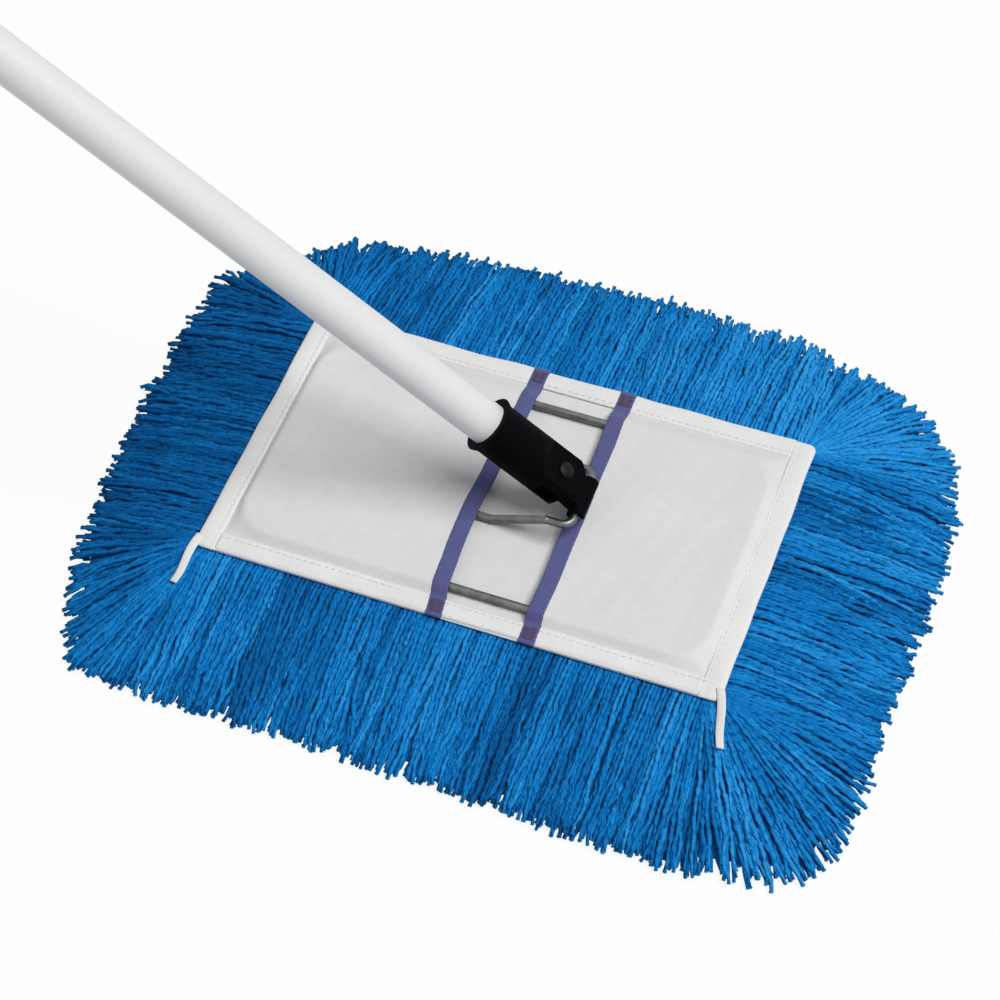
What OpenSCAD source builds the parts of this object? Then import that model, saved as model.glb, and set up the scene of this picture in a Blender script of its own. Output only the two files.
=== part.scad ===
// Dust mop: yarn head with two cloth pockets, wire frame, clip-on swivel and tube handle.
// Millimetres. The origin lies on the floor under the middle of the backing cloth.
// X runs along the mop, Y across it and Z up. The handle leans towards minus X.

/* [Cloth head] */
// Length of the backing cloth
canvas_l = 305; // [240:1:420]
// Width of the backing cloth
canvas_w = 180; // [160:1:240]
// Thickness of the backing cloth
canvas_t = 1; // [0.6:0.1:2]
// Radius of the corners of the cloth
canvas_r = 8; // [4:0.5:14]
// Thickness of the cloth of the two pockets
pocket_t = 0.9; // [0.6:0.1:1.5]
// Space over the wire inside a pocket
pocket_room = 1.2; // [0.9:0.1:3]
// Width of the hem tape round the cloth
hem_w = 12; // [8:0.5:16]
// Thickness of the tapes
tape_t = 0.7; // [0.4:0.1:1]
// Length of the loose ends of the hem tape at the front corners
tail_l = 26; // [10:1:32]
// Width of those loose ends
tail_w = 5; // [3:0.5:9]
// How far they stand out past the ends of the cloth
tail_out = 2; // [0:0.5:3]
// Outward turn of the left loose end
tail_left_turn = 3; // [-5:1:25]
// Outward turn of the right loose end
tail_right_turn = 16; // [-5:1:25]

/* [Pocket mouths] */
// Middle of the left mouth's binding, from the middle of the mop
mouth_left_x = -12.5; // [-40:0.5:-8]
// Middle of the right mouth's binding, from the middle of the mop
mouth_right_x = 42; // [40:0.5:60]
// Width of the binding on a mouth
binding_w = 11; // [8:0.5:13]
// Length of a bar tack at a binding's end
tack_l = 7; // [4:0.5:9]
// Width of a bar tack
tack_w = 8; // [2:0.5:9]
// Height of a bar tack
tack_t = 0.6; // [0.3:0.1:1]

/* [Yarn] */
// Depth of the yarn under the backing cloth
sole_h = 20; // [12:1:32]
// Length of the fringe in front
fringe_front_l = 89; // [50:1:110]
// Length of the fringe behind
fringe_back_l = 88; // [50:1:110]
// Length of the fringe at the left end
fringe_left_l = 77; // [50:1:110]
// Length of the fringe at the right end
fringe_right_l = 88; // [50:1:110]
// Length of the fringe at the front left corner
corner_front_left_l = 95; // [50:1:120]
// Length of the fringe at the front right corner
corner_front_right_l = 108; // [50:1:120]
// Length of the fringe at the back left corner
corner_back_left_l = 64; // [50:1:120]
// Length of the fringe at the back right corner
corner_back_right_l = 76; // [50:1:120]
// Turn of the yarn at the front left corner towards the front
corner_front_left_turn = 15; // [0:1:25]
// Spacing of the locks of yarn along the edge
lock_pitch = 4.9; // [4.5:0.1:9]
// Locks of yarn in half a corner
corner_locks = 9; // [4:1:12]
// Height of the grooves between the locks
groove_h = 1.8; // [0.5:0.1:3]
// Spread of the cut lengths
cut_spread = 9; // [0:0.5:14]
// Thickness of the fringe at its cut ends
tip_h = 4; // [2:0.5:8]

/* [Wire frame] */
// Diameter of the wire
wire_d = 4.8; // [3.5:0.1:6]
// Distance from the loop's front wire to the front of the cloth
loop_front_margin = 20; // [20:0.5:34]
// Distance from the loop's back wire to the back of the cloth
loop_back_margin = 26; // [20:0.5:34]
// Distance from the loop's end wires to the ends of the cloth
loop_margin = 18.5; // [17:0.5:30]
// Bend radius of the loop's corners
loop_bend = 18; // [10:0.5:30]
// Distance between the two legs of the yoke
yoke_w = 40; // [38:0.5:56]
// Height of the pivot bar over the backing cloth
bar_h = 17; // [15:0.5:26]
// Distance of the pivot bar from the middle of the mop
bar_x = 44; // [40:0.5:60]
// Bend radius at the ends of the pivot bar
bar_bend = 6.5; // [6:0.1:7]
// Swell of the wire where a leg is kinked
knuckle_swell = 0.2; // [0.15:0.05:0.4]

/* [Swivel] */
// Angle of the handle over the floor
lean = 43; // [30:1:80]
// Turn of the handle to the side
swing = 4.5; // [-20:0.5:20]
// Radius of the barrel that snaps on the bar
barrel_r = 5; // [4.6:0.1:7.4]
// Length of the barrel
barrel_l = 25; // [18:0.5:26]
// Width of the slot in the barrel
snap_slot_w = 4.2; // [3:0.1:4.6]
// Distance from the pivot bar to the swing pin
pin_reach = 22; // [21.5:0.5:30]
// Radius of the swing pin
pin_r = 2.5; // [2:0.1:3.5]
// Radius of the swing pin's head
pin_head_r = 4.6; // [4:0.1:6]
// Thickness of the swing pin's head
pin_head_t = 2; // [1:0.1:3]
// Thickness of the washer on the pin's lower end
keeper_t = 1.2; // [0.8:0.1:2]
// Thickness of the tongue between the cheeks
tongue_t = 8.8; // [6:0.1:11]
// Radius of the tongue round the pin
tongue_r = 9; // [7:0.1:10]

/* [Socket] */
// Wall of the socket round the tube
socket_wall = 3.1; // [2.4:0.1:6]
// Length of the socket beyond the swing pin
socket_l = 50; // [45:0.5:70]
// Height of the flared lip round the socket's mouth
lip_h = 1.6; // [0.8:0.1:2.5]
// Length of the flare
lip_l = 6; // [3:0.5:9]
// Half the thickness over the flat cheeks
cheek_half = 9.5; // [8:0.1:11]
// Radius of the cheeks round the pin
cheek_r = 14; // [12:0.1:14.2]
// Length of the flat cheeks beyond the pin
cheek_l = 12; // [11:0.5:16]
// Length over which the cheeks swell to the round socket
swell_l = 8; // [6:0.5:12]
// Depth of the slot between the cheeks beyond the pin
cheek_slot_l = 7.6; // [7.2:0.1:9]
// Least wall between the bore and the outside of the socket
bore_wall = 1.6; // [1:0.1:2]
// Distance from the socket's rim to the screw
screw_inset = 14; // [8:0.5:16]
// Radius of the screw
screw_r = 1.6; // [1.2:0.1:2.2]
// Length of the screw under its head
screw_l = 9; // [7:0.5:11]
// Radius of the screw's head
screw_head_r = 3.4; // [2.8:0.1:4]
// Thickness of the screw's head
screw_head_t = 2.2; // [1.5:0.1:3]
// Width of the slot in the screw's head
screw_slot_w = 1; // [0.6:0.1:1.4]

/* [Handle] */
// Radius of the handle tube
tube_r = 11.9; // [10.5:0.1:12.5]
// Wall of the handle tube
tube_wall = 0.68; // [0.5:0.01:1.5]
// Length of the handle tube
tube_l = 1372; // [900:1:1600]
// Length of the plug in the tube's lower end
plug_l = 42; // [30:1:60]
// Wall of the hanging cap
cap_wall = 1.6; // [1:0.1:3]
// Length of the cap over the tube
cap_l = 28; // [15:1:50]
// Thickness of the cap over the tube's end
cap_end_t = 4; // [2:0.5:8]
// Radius of the hanging eye's hole
eye_hole_r = 5; // [3:0.1:6]
// Radius of the hanging eye
eye_r = 10.5; // [9:0.1:12]
// Thickness of the hanging eye
eye_t = 9; // [6:0.1:12]

/* [Fits] */
// Clearance round a turning pin
running_gap = 0.05; // [0.02:0.01:0.1]
// Clearance between pieces that don't touch
clear = 0.3; // [0.2:0.05:0.5]
// Overrun of the cuts
over = 1; // [0.5:0.1:2]

/* [Hidden] */
$fn = 48;
wire_r = wire_d / 2;
cloth_top = sole_h + canvas_t;
wire_z = cloth_top + wire_r + knuckle_swell + running_gap;
flange_z = cloth_top + pocket_t;
roof_in_z = cloth_top + wire_d + pocket_room;
roof_z = roof_in_z + pocket_t;
hem_z = flange_z + tape_t;
half_l = canvas_l / 2;
half_w = canvas_w / 2;
loop_half_l = half_l - loop_margin;
loop_front_y = -half_w + loop_front_margin;
loop_back_y = half_w - loop_back_margin;
slope_foot_y = half_w - hem_w;
slope_foot_x = half_l - hem_w;
slope_front_y = loop_front_y - wire_d;
slope_back_y = loop_back_y + wire_d;
slope_top_x = loop_half_l + wire_d;
rise_z = roof_z - flange_z;
bar_z = cloth_top + bar_h;
half_yoke = yoke_w / 2;
binding_half = binding_w / 2;
lap = binding_half - tape_t;
rise_run_share = 1.9;
rise_from_x = mouth_left_x + binding_half + wire_d;
rise_to_x = rise_from_x + bar_h * rise_run_share;
hinge = [bar_x, 0, bar_z];
slot_half = tongue_t / 2 + clear;
socket_r = tube_r + socket_wall;
screw_at = socket_l - screw_inset;
bore_floor = cheek_l + swell_l * (tube_r + bore_wall - cheek_half) / (socket_r - cheek_half);
tube_start = bore_floor + clear;
tube_end = tube_start + tube_l;
eye_at = tube_end + cap_end_t + eye_r;
lock_shares = [0, 0.2, 0.5, 0.8, 1];
fall_shares = [0.95, 0.92, 0.74, 0.42, 0];
mitre_deg = 0.4;
front_step = (slope_foot_y + slope_front_y) * tape_t / rise_z;
back_step = (slope_foot_y - slope_back_y) * tape_t / rise_z;
// How sharply the yarn's length changes towards the corners of a side
front_power = 5;
back_power = 3;
left_power = 7;
right_power = 5;

// Part to draw, or all of them

yarn_sole();
fringe_front();
fringe_back();
fringe_left();
fringe_right();
backing_cloth();
pocket_left();
pocket_right();
binding_left();
binding_right();
hem_front();
hem_back();
hem_left();
hem_right();
bar_tacks();
frame_loop();
frame_yoke();
snap_clip();
swing_pin();
pin_keeper();
socket();
socket_screw();
handle_tube();
tube_plug();
hang_cap();

// Cloth and yarn

// A flat slab with round corners, in the outline of the cloth
module cloth_slab(low_z, thick) {
    translate([-half_l + canvas_r, -half_w, low_z])
        cube([canvas_l - 2 * canvas_r, canvas_w, thick]);
    translate([-half_l, -half_w + canvas_r, low_z])
        cube([canvas_l, canvas_w - 2 * canvas_r, thick]);
    for (sx = [-1, 1], sy = [-1, 1])
        translate([sx * (half_l - canvas_r), sy * (half_w - canvas_r), low_z])
            cylinder(r = canvas_r, h = thick);
}

// Yarn looped and sewn under the backing cloth
module yarn_sole() {
    color([0.06, 0.36, 0.66])
        cloth_slab(0, sole_h);
}

// Backing cloth that carries the yarn
module backing_cloth() {
    color([0.86, 0.86, 0.85])
        cloth_slab(sole_h, canvas_t);
}

// Length of the fringe at a column, between the two corners and the side
function lock_len(side_l, near_l, far_l, power, share) =
    share < 0.5
        ? side_l + (near_l - side_l) * pow(1 - 2 * share, power)
        : side_l + (far_l - side_l) * pow(2 * share - 1, power);

// Columns of one side of the fringe: foot, outward direction and share along the side
function fringe_columns(half_a, half_b, near_turn, far_turn) =
    let (near_fan = 45 - near_turn - mitre_deg)
    let (far_fan = 45 + far_turn - mitre_deg)
    let (straight = 2 * max(4, round((half_a - canvas_r) * 2 / lock_pitch)))
    let (corner = 2 * corner_locks)
    let (count = straight + 2 * corner)
    [for (i = [0 : count])
        let (left = i <= corner)
        let (right = i >= corner + straight)
        let (k = left ? i / corner : (i - corner - straight) / corner)
        let (turn = left ? -90 - near_fan * (1 - k) : right ? -90 + far_fan * k : -90)
        let (along = left ? 0 : right ? 1 : (i - corner) / straight)
        let (mid_x = (2 * along - 1) * (half_a - canvas_r))
        let (foot = canvas_r + clear)
        [mid_x + foot * cos(turn), -half_b + canvas_r + foot * sin(turn),
         cos(turn), sin(turn), i / count]];

// Height of the yarn at a share of its length
function lock_z(k, ridge) =
    tip_h + (sole_h - tip_h) * fall_shares[k] - (ridge ? 0 : groove_h * (k == 0 ? 0 : 1));

// One side of the fringe, as locks of yarn that fall to the floor and end at cut lengths
module fringe_side(half_a, half_b, side_l, near_l, far_l, power, seed, near_turn = 0, far_turn = 0) {
    cols = fringe_columns(half_a, half_b, near_turn, far_turn);
    last = len(cols) - 1;
    rows = len(lock_shares);
    step = rows + 2;
    cuts = rands(-1, 1, last + 1, seed);
    points = [for (i = [0 : last])
        let (c = cols[i])
        let (ridge = i % 2 == 1)
        let (inner = i > 0 && i < last)
        let (jag = inner ? cuts[i] * cut_spread / 2 - (ridge ? 0 : cut_spread / 3) : 0)
        let (reach = lock_len(side_l, near_l, far_l, power, c[4]) + jag)
        for (k = [0 : step - 1])
            let (t = k < rows ? lock_shares[k] : k == rows ? 1 : 0)
            let (z = k < rows ? lock_z(k, ridge) : 0)
            [c[0] + c[2] * reach * t, c[1] + c[3] * reach * t, z]];
    skin = [for (i = [0 : last - 1])
        for (k = [0 : step - 1])
            let (a = i * step + k)
            let (b = i * step + (k + 1) % step)
            let (c = b + step)
            let (d = a + step)
            for (half = [0, 1])
                half == 0 ? [a, c, b] : [a, d, c]];
    ends = [[for (k = [0 : step - 1]) k], [for (k = [0 : step - 1]) last * step + step - 1 - k]];
    polyhedron(points = points, faces = concat(skin, ends));
}

// Fringe in front
module fringe_front() {
    color([0.05, 0.37, 0.68])
        fringe_side(
            half_l, half_w, fringe_front_l, corner_front_left_l, corner_front_right_l,
            front_power, 11, near_turn = corner_front_left_turn
        );
}

// Fringe behind
module fringe_back() {
    color([0.05, 0.37, 0.68])
        rotate([0, 0, 180])
            fringe_side(
                half_l, half_w, fringe_back_l, corner_back_right_l, corner_back_left_l,
                back_power, 12
            );
}

// Fringe at the left end
module fringe_left() {
    color([0.05, 0.35, 0.65])
        rotate([0, 0, -90])
            fringe_side(
                half_w, half_l, fringe_left_l, corner_back_left_l, corner_front_left_l,
                left_power, 13, far_turn = corner_front_left_turn
            );
}

// Fringe at the right end
module fringe_right() {
    color([0.05, 0.38, 0.7])
        rotate([0, 0, 90])
            fringe_side(
                half_w, half_l, fringe_right_l, corner_front_right_l, corner_back_right_l,
                right_power, 14
            );
}

// A block between two rectangles, each given as its low X, high X, low Y and high Y
module frustum(low, low_z, high, high_z) {
    polyhedron(
        points = [
            [low[0], low[2], low_z],
            [low[1], low[2], low_z],
            [low[1], low[3], low_z],
            [low[0], low[3], low_z],
            [high[0], high[2], high_z],
            [high[1], high[2], high_z],
            [high[1], high[3], high_z],
            [high[0], high[3], high_z]
        ],
        faces = [[0, 1, 2, 3], [7, 6, 5, 4], [0, 4, 5, 1], [1, 5, 6, 2], [2, 6, 7, 3], [3, 7, 4, 0]]
    );
}

// A pocket of cloth over one end of the frame, drawn for the right end and open to the left
module pocket(mouth) {
    difference() {
        union() {
            intersection() {
                cloth_slab(cloth_top, pocket_t);
                translate([mouth, -canvas_w, 0])
                    cube([canvas_l, 2 * canvas_w, roof_z]);
            }
            frustum(
                [mouth, slope_foot_x, -slope_foot_y, slope_foot_y], flange_z,
                [mouth, slope_top_x, slope_front_y, slope_back_y], roof_z
            );
        }
        frustum(
            [mouth - over, slope_foot_x - pocket_t, -slope_foot_y + pocket_t, slope_foot_y - pocket_t],
            cloth_top,
            [mouth - over, slope_top_x - pocket_t, slope_front_y + pocket_t, slope_back_y - pocket_t],
            roof_in_z
        );
        translate([mouth - over, -slope_foot_y + pocket_t, cloth_top - over])
            cube([slope_foot_x - pocket_t - mouth + over, 2 * (slope_foot_y - pocket_t), over]);
    }
}

// Pocket at the left end
module pocket_left() {
    color([0.84, 0.84, 0.84])
        mirror([1, 0, 0])
            pocket(-mouth_left_x - lap);
}

// Pocket at the right end
module pocket_right() {
    color([0.87, 0.87, 0.86])
        pocket(mouth_right_x - lap);
}

// A strip across the whole cloth that follows a pocket's mouth, from one height over it to another
module mouth_strip(low, high) {
    rotate([90, 0, 90])
        linear_extrude(height = binding_w)
            polygon([
                [-half_w, hem_z + low],
                [-slope_foot_y + front_step, hem_z + low],
                [slope_front_y, roof_z + low],
                [slope_back_y, roof_z + low],
                [slope_foot_y - back_step, hem_z + low],
                [half_w, hem_z + low],
                [half_w, hem_z + high],
                [slope_foot_y - back_step, hem_z + high],
                [slope_back_y, roof_z + high],
                [slope_front_y, roof_z + high],
                [-slope_foot_y + front_step, hem_z + high],
                [-half_w, hem_z + high]
            ]);
}

// A tape folded over a pocket's mouth, drawn with its fold towards minus X
module binding() {
    mouth_strip(0, tape_t);
    translate([0, loop_front_y, roof_in_z - tape_t])
        cube([binding_half, loop_back_y - loop_front_y, tape_t]);
    translate([0, loop_front_y, roof_in_z - tape_t])
        cube([tape_t, loop_back_y - loop_front_y, roof_z - roof_in_z + 2 * tape_t]);
}

// Binding on the left pocket's mouth
module binding_left() {
    color([0.4, 0.4, 0.6])
        mirror([1, 0, 0])
            translate([-mouth_left_x - binding_half, 0, 0])
                difference() {
                    binding();
                    binding_room();
                }
}

// Binding on the right pocket's mouth
module binding_right() {
    color([0.35, 0.34, 0.58])
        translate([mouth_right_x - binding_half, 0, 0])
            difference() {
                binding();
                binding_room();
            }
}

// The pocket's cloth between the two layers of its binding
module binding_room() {
    translate([tape_t, slope_front_y, roof_in_z])
        cube([binding_w, slope_back_y - slope_front_y, pocket_t]);
}

// Hem tape along a long edge, drawn for the front, thicker where there is no pocket under it
module hem_long() {
    translate([-half_l + hem_w, -half_w, flange_z])
        cube([canvas_l - 2 * hem_w, hem_w, tape_t]);
    translate([mouth_left_x + lap, -half_w, cloth_top])
        cube([mouth_right_x - mouth_left_x - 2 * lap, hem_w, pocket_t]);
}

// Hem tape along the front edge
module hem_front() {
    color([0.93, 0.93, 0.93])
        hem_long();
}

// Hem tape along the back edge
module hem_back() {
    color([0.93, 0.93, 0.93])
        mirror([0, 1, 0])
            hem_long();
}

// Hem tape along an end, drawn for the right, with its loose end at the front turned outwards
module hem_end(turn) {
    intersection() {
        cloth_slab(flange_z, tape_t);
        translate([half_l - hem_w, -canvas_w, flange_z])
            cube([2 * hem_w, 2 * canvas_w, tape_t]);
    }
    translate([half_l - tail_w / 2 + tail_out, -half_w + canvas_r, flange_z])
        rotate([0, 0, turn])
            translate([-tail_w / 2, -tail_l - canvas_r, 0])
                cube([tail_w, tail_l + canvas_r, tape_t]);
}

// Hem tape along the left end
module hem_left() {
    color([0.95, 0.95, 0.95])
        mirror([1, 0, 0])
            hem_end(tail_left_turn);
}

// Hem tape along the right end
module hem_right() {
    color([0.95, 0.95, 0.95])
        hem_end(tail_right_turn);
}

// Close stitches that hold the ends of the two bindings
module bar_tacks() {
    color([0.25, 0.2, 0.42])
        for (x = [mouth_left_x, mouth_right_x], sy = [-1, 1])
            translate([x - tack_w / 2, sy * (half_w - hem_w / 2) - tack_l / 2, hem_z + tape_t])
                cube([tack_w, tack_l, tack_t]);
}

// Wire frame

function unit(v) = v / norm(v);

// How much of a straight a bend takes up
function bend_cut(a, p, b, r) = r / tan(acos(unit(a - p) * unit(b - p)) / 2);

// A straight piece of wire
module wire_run(a, b) {
    d = b - a;
    translate(a)
        rotate([0, acos(d[2] / norm(d)), atan2(d[1], d[0])])
            cylinder(r = wire_r, h = norm(d));
}

// A bend in the wire at p, between the straights from a and to b
module wire_bend(a, p, b, r) {
    to_a = unit(a - p);
    to_b = unit(b - p);
    spread = acos(to_a * to_b);
    centre = p + unit(to_a + to_b) * r / sin(spread / 2);
    out = unit(p + to_a * bend_cut(a, p, b, r) - centre);
    side = cross(out, -to_a);
    multmatrix([
        [out[0], -to_a[0], side[0], centre[0]],
        [out[1], -to_a[1], side[1], centre[1]],
        [out[2], -to_a[2], side[2], centre[2]],
        [0, 0, 0, 1]
    ])
        rotate_extrude(angle = 180 - spread)
            translate([r, 0])
                circle(r = wire_r);
}

// Outer loop of wire in the two pockets
module frame_loop() {
    x = loop_half_l;
    pts = [
        [-x, loop_front_y, wire_z],
        [x, loop_front_y, wire_z],
        [x, loop_back_y, wire_z],
        [-x, loop_back_y, wire_z]
    ];
    color([0.62, 0.64, 0.64])
        for (i = [0 : 3]) {
            p = pts[i];
            q = pts[(i + 1) % 4];
            s = pts[(i + 2) % 4];
            wire_run(p + unit(q - p) * loop_bend, q - unit(q - p) * loop_bend);
            wire_bend(p, q, s, loop_bend);
        }
}

// Hairpin of wire whose raised closed end is the pivot bar
module frame_yoke() {
    root_x = -loop_half_l + wire_r + running_gap;
    pts = [
        [root_x, -half_yoke, wire_z],
        [rise_from_x, -half_yoke, wire_z],
        [rise_to_x, -half_yoke, bar_z],
        [bar_x, -half_yoke, bar_z],
        [bar_x, half_yoke, bar_z],
        [rise_to_x, half_yoke, bar_z],
        [rise_from_x, half_yoke, wire_z],
        [root_x, half_yoke, wire_z]
    ];
    last = len(pts) - 1;
    cuts = [for (i = [0 : last]) i == 3 || i == 4 ? bar_bend : 0];
    color([0.6, 0.62, 0.62])
        union() {
            for (i = [0 : last - 1]) {
                way = unit(pts[i + 1] - pts[i]);
                wire_run(pts[i] + way * cuts[i], pts[i + 1] - way * cuts[i + 1]);
            }
            for (i = [1, 2, 5, 6])
                translate(pts[i])
                    sphere(r = wire_r + knuckle_swell);
            for (i = [3, 4])
                wire_bend(pts[i - 1], pts[i], pts[i + 1], bar_bend);
        }
}

// Swivel: X runs up the handle from the pivot bar, Y along the bar, Z up through the swing pin

// Places the clip on the pivot bar
module on_bar() {
    translate(hinge)
        rotate([0, -lean, 180])
            children();
}

// Places what turns on the swing pin
module on_pin() {
    on_bar()
        translate([pin_reach, 0, 0])
            rotate([0, 0, swing])
                children();
}

// A cylinder along X
module rod_x(from, to, r) {
    translate([from, 0, 0])
        rotate([0, 90, 0])
            cylinder(r = r, h = to - from);
}

// A cylinder along Z
module rod_z(from, to, r) {
    translate([0, 0, from])
        cylinder(r = r, h = to - from);
}

// Clip whose slotted barrel snaps over the pivot bar, with a tongue for the swing pin
module snap_clip() {
    color([0.03, 0.03, 0.035])
        on_bar()
            difference() {
                union() {
                    rotate([90, 0, 0])
                        translate([0, 0, -barrel_l / 2])
                            cylinder(r = barrel_r, h = barrel_l);
                    translate([0, -tongue_r, -tongue_t / 2])
                        cube([pin_reach, 2 * tongue_r, tongue_t]);
                    translate([pin_reach, 0, 0])
                        rod_z(-tongue_t / 2, tongue_t / 2, tongue_r);
                }
                rotate([90, 0, 0])
                    translate([0, 0, -barrel_l])
                        cylinder(r = wire_r + running_gap, h = 2 * barrel_l);
                translate([-barrel_r - over, -barrel_l, -snap_slot_w / 2])
                    cube([barrel_r + over, 2 * barrel_l, snap_slot_w]);
                translate([pin_reach, 0, 0])
                    rod_z(-tongue_t, tongue_t, pin_r + running_gap);
            }
}

// Rivet that the handle swings on
module swing_pin() {
    color([0.1, 0.1, 0.105])
        on_pin() {
            rod_z(-cheek_half - keeper_t - clear, cheek_half, pin_r);
            translate([0, 0, cheek_half])
                rotate_extrude()
                    polygon([
                        [0, 0],
                        [pin_head_r, 0],
                        [pin_head_r, pin_head_t / 2],
                        [pin_r, pin_head_t],
                        [0, pin_head_t]
                    ]);
        }
}

// Pressed washer on the rivet's lower end
module pin_keeper() {
    color([0.1, 0.1, 0.105])
        on_pin()
            difference() {
                rod_z(-cheek_half - keeper_t, -cheek_half, pin_head_r);
                rod_z(-cheek_half - keeper_t - over, -cheek_half + over, pin_r + running_gap);
            }
}

// Socket for the handle, with two cheeks round the clip's tongue
module socket() {
    swell_at = cheek_l + swell_l;
    color([0.035, 0.035, 0.04])
        on_pin()
            difference() {
                union() {
                    intersection() {
                        rod_x(-socket_r, socket_l, socket_r);
                        rotate([90, 0, 0])
                            translate([0, 0, -socket_r])
                                linear_extrude(height = 2 * socket_r)
                                    polygon([
                                        [-socket_r, -cheek_half],
                                        [cheek_l, -cheek_half],
                                        [swell_at, -socket_r],
                                        [socket_l, -socket_r],
                                        [socket_l, socket_r],
                                        [swell_at, socket_r],
                                        [cheek_l, cheek_half],
                                        [-socket_r, cheek_half]
                                    ]);
                        union() {
                            rod_z(-socket_r, socket_r, cheek_r);
                            translate([0, -cheek_r, -socket_r])
                                cube([cheek_l, 2 * cheek_r, 2 * socket_r]);
                            translate([cheek_l, -socket_r, -socket_r])
                                cube([socket_l, 2 * socket_r, 2 * socket_r]);
                        }
                    }
                    translate([socket_l - lip_l, 0, 0])
                        rotate([0, 90, 0])
                            cylinder(r1 = socket_r - lip_h / 2, r2 = socket_r + lip_h, h = lip_l);
                }
                translate([-2 * socket_r, -socket_r - over, -slot_half])
                    cube([2 * socket_r + cheek_slot_l, 2 * (socket_r + over), 2 * slot_half]);
                rod_z(-slot_half, slot_half, tongue_r + clear);
                rod_z(-socket_r, socket_r, pin_r + running_gap);
                rod_x(bore_floor, socket_l + over, tube_r + running_gap);
                translate([screw_at, 0, 0])
                    rod_z(-socket_r - over, -tube_r + over, screw_r + running_gap);
                translate([screw_at, 0, 0])
                    rod_z(-socket_r - over, -socket_r + screw_head_t / 2, screw_head_r + clear);
            }
}

// Pan-head screw that holds the handle in the socket, on the underside
module socket_screw() {
    seat = -socket_r + screw_head_t / 2;
    color([0.12, 0.12, 0.13])
        on_pin()
            translate([screw_at, 0, seat])
                difference() {
                    union() {
                        rod_z(0, screw_l, screw_r);
                        rod_z(-screw_head_t, 0, screw_head_r);
                    }
                    translate([-screw_head_r - over, -screw_slot_w / 2, -screw_head_t - over])
                        cube([2 * (screw_head_r + over), screw_slot_w, over + screw_head_t / 2]);
                }
}

// White tube
module handle_tube() {
    color([0.93, 0.93, 0.92])
        on_pin()
            difference() {
                rod_x(tube_start, tube_end, tube_r);
                rod_x(tube_start - over, tube_end + over, tube_r - tube_wall);
                translate([screw_at, 0, 0])
                    rod_z(-tube_r - over, 0, screw_r + running_gap);
            }
}

// Plug in the tube's lower end that the screw bites into
module tube_plug() {
    color([0.75, 0.66, 0.5])
        on_pin()
            difference() {
                rod_x(tube_start, tube_start + plug_l, tube_r - tube_wall - running_gap);
                translate([screw_at, 0, 0])
                    rod_z(-tube_r - over, 0, screw_r + running_gap);
            }
}

// Cap on the tube's upper end, with an eye to hang the mop by
module hang_cap() {
    cap_r = tube_r + cap_wall;
    color([0.05, 0.05, 0.055])
        on_pin()
            difference() {
                union() {
                    rod_x(tube_end - cap_l, tube_end + cap_end_t, cap_r);
                    translate([tube_end, -eye_r, -eye_t / 2])
                        cube([eye_at - tube_end, 2 * eye_r, eye_t]);
                    translate([eye_at, 0, 0])
                        rod_z(-eye_t / 2, eye_t / 2, eye_r);
                }
                rod_x(tube_end - cap_l - over, tube_end, tube_r + running_gap);
                translate([eye_at, 0, 0])
                    rod_z(-eye_t, eye_t, eye_hole_r);
            }
}
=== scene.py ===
"""Dust mop: the looks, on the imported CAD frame. Lengths are millimetres in the row frame."""
import math
from typing import NamedTuple

import bpy
import numpy as np
from mathutils import Matrix, Vector


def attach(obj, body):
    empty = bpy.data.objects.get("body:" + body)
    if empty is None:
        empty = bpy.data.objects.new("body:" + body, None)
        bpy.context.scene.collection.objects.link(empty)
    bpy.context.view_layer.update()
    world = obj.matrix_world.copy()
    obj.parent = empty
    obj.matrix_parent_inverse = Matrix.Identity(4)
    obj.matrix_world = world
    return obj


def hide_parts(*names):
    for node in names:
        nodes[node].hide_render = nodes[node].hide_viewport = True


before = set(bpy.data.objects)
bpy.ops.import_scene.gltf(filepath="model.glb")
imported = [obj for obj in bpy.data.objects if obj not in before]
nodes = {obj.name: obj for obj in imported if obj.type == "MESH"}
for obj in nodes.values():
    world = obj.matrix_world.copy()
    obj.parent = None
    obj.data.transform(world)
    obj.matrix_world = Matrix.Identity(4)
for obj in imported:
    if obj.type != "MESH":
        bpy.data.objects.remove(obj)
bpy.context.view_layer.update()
scene = bpy.context.scene
scene.view_settings.view_transform = "Standard"

MM, CM = 0.001, 10.0  # metres in a millimetre, millimetres in a centimetre
TINY = 1e-9

# Sizes of the CAD source that are needed again here
HALF_L, HALF_W, CORNER = 152.5, 90.0, 8.0  # half sizes of the cloth, radius of its corners
CLOTH_TOP, CLOTH_T = 21.0, 0.9  # top of the backing cloth, thickness of a pocket's
WIRE_R, WIRE_TOP = 2.4, 26.05
LOOP_L, LOOP_BEND = 134.0, 18.0  # half the length of the wire loop, bend of its corners
LOOP_FRONT, LOOP_BACK = -70.0, 64.0  # places of its long wires
YOKE = 20.0  # half the distance between the legs of the yoke
HEM_W, HEM_Z, TAPE = 12.0, 22.6, 0.7  # width and top of the hem, thickness of a tape
MOUTH_LEFT, MOUTH_RIGHT = -12.5, 42.0  # middles of the bindings
TAIL_L, TAIL_W, TAIL_OUT = 26.0, 5.0, 2.0  # loose ends of the hem, and how far they lie out past the cloth
TAIL_LEFT_TURN, TAIL_RIGHT_TURN = 3.0, 16.0  # degrees outwards
LOCK_PITCH, CORNER_LOCKS = 4.9, 9  # spacing of the locks of yarn, their number in half a corner
CLOTH_CORNER, BINDING_W = 4.5, 9.6  # sewn corners and folded bindings, slightly less than in the CAD


# Node trees

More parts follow.
